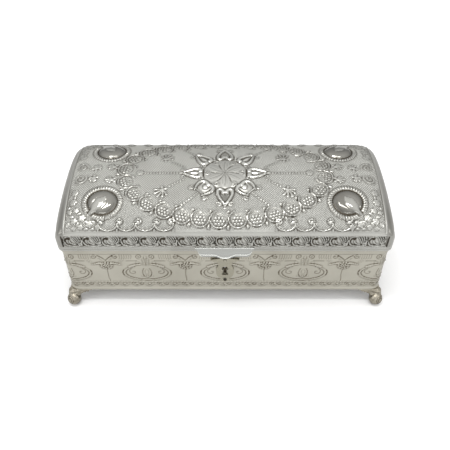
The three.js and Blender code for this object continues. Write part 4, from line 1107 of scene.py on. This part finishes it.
def make_foot(name, right, back, material):
    """A copy of the CAD foot with leaves on it, remeshed into one casting. A row of lobes runs
    along each wing and one down the corner, each by its place and three half sizes."""
    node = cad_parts[name]
    cast = bmesh.new()
    cast.from_mesh(node.data)
    cast.transform(node.matrix_world)
    bmesh.ops.remove_doubles(cast, verts=cast.verts, dist=1e-6)
    corner = Vector((base_half_x - foot_in, base_half_y - foot_in, base_low.z))
    lobes = []
    for share in (np.arange(leaf_lobes) + 0.5) / leaf_lobes:
        run, drop, size = 1.0 + 11.5 * share, 1.8 + 4.6 * (1 - share) ** 1.5, 1.55 - 0.75 * share
        lobes.append(((1.6 - run, 1.8, -drop), (size * 1.25, size * 0.8, size)))
        lobes.append(((1.8, 1.6 - run, -drop), (size * 0.8, size * 1.25, size)))
    for k in range(corner_lobes):
        wide = 3.4 - 0.3 * k
        lobes.append(((0.6 + 0.5 * k, 0.6 + 0.5 * k, -1.9 - 1.5 * k), (wide, wide, 1.25)))
    for place, sizes in lobes:
        spot = corner + Vector(place)
        spot = Vector((right * spot.x, back * spot.y, spot.z))
        matrix = Matrix.Translation(spot / 1000) @ Matrix.Diagonal((*sizes, 1))
        bmesh.ops.create_uvsphere(cast, u_segments=14, v_segments=9, radius=0.001, matrix=matrix)
    bmesh.ops.recalc_face_normals(cast, faces=cast.faces)
    made = as_object(name.replace("foot", "cast_foot"), cast, material)
    melt = made.modifiers.new("one_casting", "REMESH")
    melt.mode = "VOXEL"
    melt.voxel_size = foot_voxel / 1000
    melt.use_smooth_shade = True
    soften = made.modifiers.new("cast_edges", "SMOOTH")
    soften.factor = 0.5
    soften.iterations = 2
    return made


foot_silver = cast_silver("cast_silver_plate", "#a8a294", "#554c3d", 0.3)
for side_name, right in (("left", -1), ("right", 1)):
    for end_name, back in (("front", -1), ("back", 1)):
        node_name = f"foot_{end_name}_{side_name}"
        cast_foot = make_foot(node_name, right, back, foot_silver)
        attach(cast_foot, "base")
        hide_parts(node_name)


# Hinges: brass leaves riveted inside the back walls, with steel pins through their knuckles. The
# rivets' low heads show outside. All of these stay CAD parts, with softened edges on the leaves.

brass = plain_metal("stamped_brass", "#b3a06e", 0.32)
steel = plain_metal("bright_steel", "#a9aaab", 0.3)
sides = ("left", "right")
dress(brass, [f"hinge_leaf_{half}_{side}" for half in ("lid", "base") for side in sides], 0.12)
dress(steel, [f"hinge_pin_{side}" for side in sides])
dress(brass, [f"{half}_rivet_{side}_{place}" for half in ("lid", "base") for side in sides
              for place in ("outer", "inner")])


# Lock: a brass case and cover behind the keyhole, with a steel post and a sliding steel bolt
# that enters the brass catch in the lid. Small steel screws hold the cover.

dress(brass, ["lock_case", "lock_cover", "lid_catch"], 0.12)
dress(steel, ["lock_post", "lock_bolt", "lock_screw_left", "lock_screw_right"], 0.1)


# Bottom: a plain plated sheet that lies on the flange. Four steel screws from inside hold it, and
# go through the flange into the feet.

bottom_metal = plain_metal("plated_sheet", "#a7a69f", 0.38)
dress(bottom_metal, ["bottom_plate"], 0.2)
dress(steel, [f"foot_screw_{end}_{side}" for end in ("front", "back") for side in sides])


# Wall and floor linings: short-pile velvet glued over card, with soft edges. The pieces line the
# four walls and the floor, and the front one leaves room for the lock.

def velvet_material(name, colour, lint, sheen):
    """Short cotton pile: matt, cloudy, and paler where it is seen edge-on."""
    made = bpy.data.materials.new(name)
    node = empty_nodes(made)
    place = node("TexCoord").outputs["Object"]
    nap = node("TexNoise", Vector=place, Scale=60.0, Detail=6.0)
    tone = node("MapRange", Value=nap, _1=0.3, _2=0.7, _3=0.75, _4=1.25)
    shade = node("VectorMath", {"operation": "SCALE"}, _0=linear(colour)[:3], Scale=tone)
    pile = node("TexNoise", Vector=place, Scale=2600.0, Detail=2.0)
    bump = node("Bump", Strength=0.5, Distance=0.0002, Height=pile)
    shader = node("BsdfPrincipled", Base_Color=shade, Roughness=0.95, Specular_IOR_Level=0.1,
                  Sheen_Weight=sheen, Sheen_Roughness=0.4, Sheen_Tint=linear(lint), Normal=bump)
    node("OutputMaterial", Surface=shader)
    return made


def velvet_panel(node, inward, thickness, cut=None):
    """A covered card: flat behind, rounded at its edges, with room cut out of its upper edge. Its
    thickness is in mm."""
    round_most, round_share = 0.6, 0.6
    low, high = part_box(node)
    through = max(range(3), key=lambda i: abs(inward[i]))
    u, v = (i for i in range(3) if i != through)
    face = (high if inward[through] > 0 else low)[through]
    us, vs = [low[u], high[u]], [low[v], high[v]]
    if cut:
        us[1:1], vs[1:1] = [cut[0][u], cut[1][u]], [cut[0][v]]
    card = bmesh.new()
    bmesh.ops.create_grid(card, x_segments=len(us) - 1, y_segments=len(vs) - 1, size=1)
    for k, vert in enumerate(card.verts):
        place = [0, 0, 0]
        place[u], place[v], place[through] = us[k % len(us)], vs[k // len(us)], face
        vert.co = place
    if cut:
        card.faces.ensure_lookup_table()
        bmesh.ops.delete(card, geom=[card.faces[4]], context="FACES")
    rim = [e for e in card.edges if e.is_boundary]
    grown = bmesh.ops.extrude_face_region(card, geom=card.faces[:], use_keep_orig=True)
    back = [item for item in grown["geom"] if isinstance(item, bmesh.types.BMVert)]
    bmesh.ops.translate(card, verts=back, vec=-Vector(inward) * thickness / 1000)
    bmesh.ops.recalc_face_normals(card, faces=card.faces)
    bmesh.ops.bevel(card, geom=rim, offset=min(round_most, thickness * round_share) / 1000,
                    offset_type="OFFSET", segments=4, profile=0.5, affect="EDGES", material=-1)
    made = as_object(node.replace("lining", "velvet"), card, velvet)
    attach(made, "base")
    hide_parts(node)


velvet = velvet_material("blue_velvet", "#1c2652", "#7f8fd0", 0.6)
lock_low, lock_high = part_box("lock_case")
lock_room = Vector((0.0004, 0, 0.0004))
velvet_panel("lining_floor", (0, 0, 1), 1.2)
velvet_panel("lining_front", (0, 1, 0), 1.7, (lock_low - lock_room, lock_high + lock_room))
velvet_panel("lining_back", (0, -1, 0), 0.6)
velvet_panel("lining_left", (1, 0, 0), 1.7)
velvet_panel("lining_right", (-1, 0, 0), 1.7)


# Lid lining: one piece of the same velvet, padded and glued under the vault, so that it follows
# the vault's curve and stops level all round.

def make_lid_lining():
    """Two skins under the vault, one thickness of padding apart, joined round their border."""
    lining_gap, lining_thick, side_margin = 2.4, 1.45, 1.0
    end_shares = np.array([0.4, 0.75])
    low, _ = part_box("lid_lining")
    along = np.linspace(-1, 1, 65) * ridge_column
    past = ridge_column + end_shares
    columns = np.concatenate([-past[::-1], along, past])
    rows = np.linspace(-1, 1, 41) * (half_arc - side_margin)
    plain = vault_places(*np.meshgrid(columns, rows))
    square = outward(plain)
    lining = bmesh.new()
    for depth in (lining_gap, lining_gap + lining_thick):
        skin = plain - square * depth
        skin[..., 2] = np.maximum(skin[..., 2], low.z * 1000)
        before = len(lining.verts)
        bmesh.ops.create_grid(lining, x_segments=len(columns) - 1, y_segments=len(rows) - 1, size=1)
        lining.verts.ensure_lookup_table()
        for vert, place in zip(lining.verts[before:], skin.reshape(-1, 3) / 1000):
            vert.co = place
    bmesh.ops.bridge_loops(lining, edges=[e for e in lining.edges if e.is_boundary])
    bmesh.ops.recalc_face_normals(lining, faces=lining.faces)
    return as_object("velvet_lid", lining, velvet)


velvet_lid = make_lid_lining()
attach(velvet_lid, "lid")
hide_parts("lid_lining")


# Studio: a pale paper floor that the camera sees white, a white surround, soft lamps above, in
# front and at both ends, and the camera at the photograph's angle.

def grey(level):
    """A grey as linear RGBA."""
    return level, level, level, 1


def make_floor(mirrored):
    """A paper floor just under the feet. The camera sees it white, and the silver mirrors a tone."""
    plane = bmesh.new()
    bmesh.ops.create_grid(plane, x_segments=1, y_segments=1, size=6)
    made = bpy.data.materials.new("floor_paper")
    node = empty_nodes(made)
    rays = node("LightPath")
    tone = node("Mix", {"data_type": "RGBA"}, _0=rays, _6=linear(mirrored), _7=grey(1))
    paper = node("BsdfDiffuse", Color=tone.outputs[2])
    node("OutputMaterial", Surface=paper)
    floor = as_object("floor", plane, made)
    floor.data.transform(Matrix.Translation((0, 0, -0.0001)))


def add_lamp(name, place, target, size, power):
    """A rectangular soft lamp, its places and sizes in metres and its power in watts."""
    data = bpy.data.lights.new(name, "AREA")
    data.shape = "RECTANGLE"
    data.size, data.size_y = size
    data.energy = power
    lamp = bpy.data.objects.new(name, data)
    lamp.location = place
    lamp.rotation_euler = (Vector(target) - Vector(place)).to_track_quat("-Z", "Y").to_euler()
    bpy.context.scene.collection.objects.link(lamp)


def make_world(horizon, overhead, front):
    """A grey room, brighter overhead, with a pale patch low in front that polished domes mirror.
    The camera sees it white."""
    world = bpy.data.worlds.new("studio")
    node = empty_nodes(world)
    rays = node("LightPath")
    view = node("TexCoord").outputs["Generated"]
    axes = node("SeparateXYZ", Vector=view)
    height = node("MapRange", Value=axes.outputs["Z"], _1=0.0, _2=0.95, _3=0.0, _4=1.0)
    ahead = node("MapRange", Value=axes.outputs["Y"], _1=-0.8, _2=-0.3, _3=1.0, _4=0.0)
    low = node("MapRange", Value=axes.outputs["Z"], _1=0.2, _2=0.5, _3=1.0, _4=0.0)
    patch = node("Math", {"operation": "MULTIPLY"}, _0=ahead, _1=low)
    sky = node("Mix", {"data_type": "RGBA"}, _0=height, _6=grey(horizon), _7=grey(overhead))
    room = node("Mix", {"data_type": "RGBA"}, _0=patch, _6=sky.outputs[2], _7=grey(front))
    shown = node("Mix", {"data_type": "RGBA"}, _0=rays, _6=room.outputs[2], _7=grey(1))
    surround = node("Background", Color=shown.outputs[2], Strength=1.0)
    node("OutputWorld", Surface=surround)
    bpy.context.scene.world = world


make_floor("#dedede")
make_world(0.36, 1.16, 0.94)
add_lamp("key", (-0.16, -0.02, 0.7), (0, 0, 0.04), (0.2, 0.14), 0.7)
add_lamp("top", (0, -0.1, 0.85), (0, 0, 0.04), (0.6, 0.1), 1.7)
add_lamp("front", (0, -0.9, 0.34), (0, 0, 0.06), (0.9, 0.1), 0.55)
add_lamp("left", (-0.6, -0.25, 0.3), (0, 0, 0.05), (0.1, 0.25), 0.35)
add_lamp("right", (0.6, -0.2, 0.35), (0, 0, 0.05), (0.1, 0.25), 0.35)

camera_data = bpy.data.cameras.new("camera")
camera_data.lens = 47.44
camera_data.sensor_width = 36
camera = bpy.data.objects.new("camera", camera_data)
camera.location = (0, -0.2964, 0.34825)
camera.rotation_euler = (math.radians(43.36), 0, 0)
bpy.context.scene.collection.objects.link(camera)
bpy.context.scene.camera = camera
bpy.context.scene.view_settings.view_transform = "Standard"
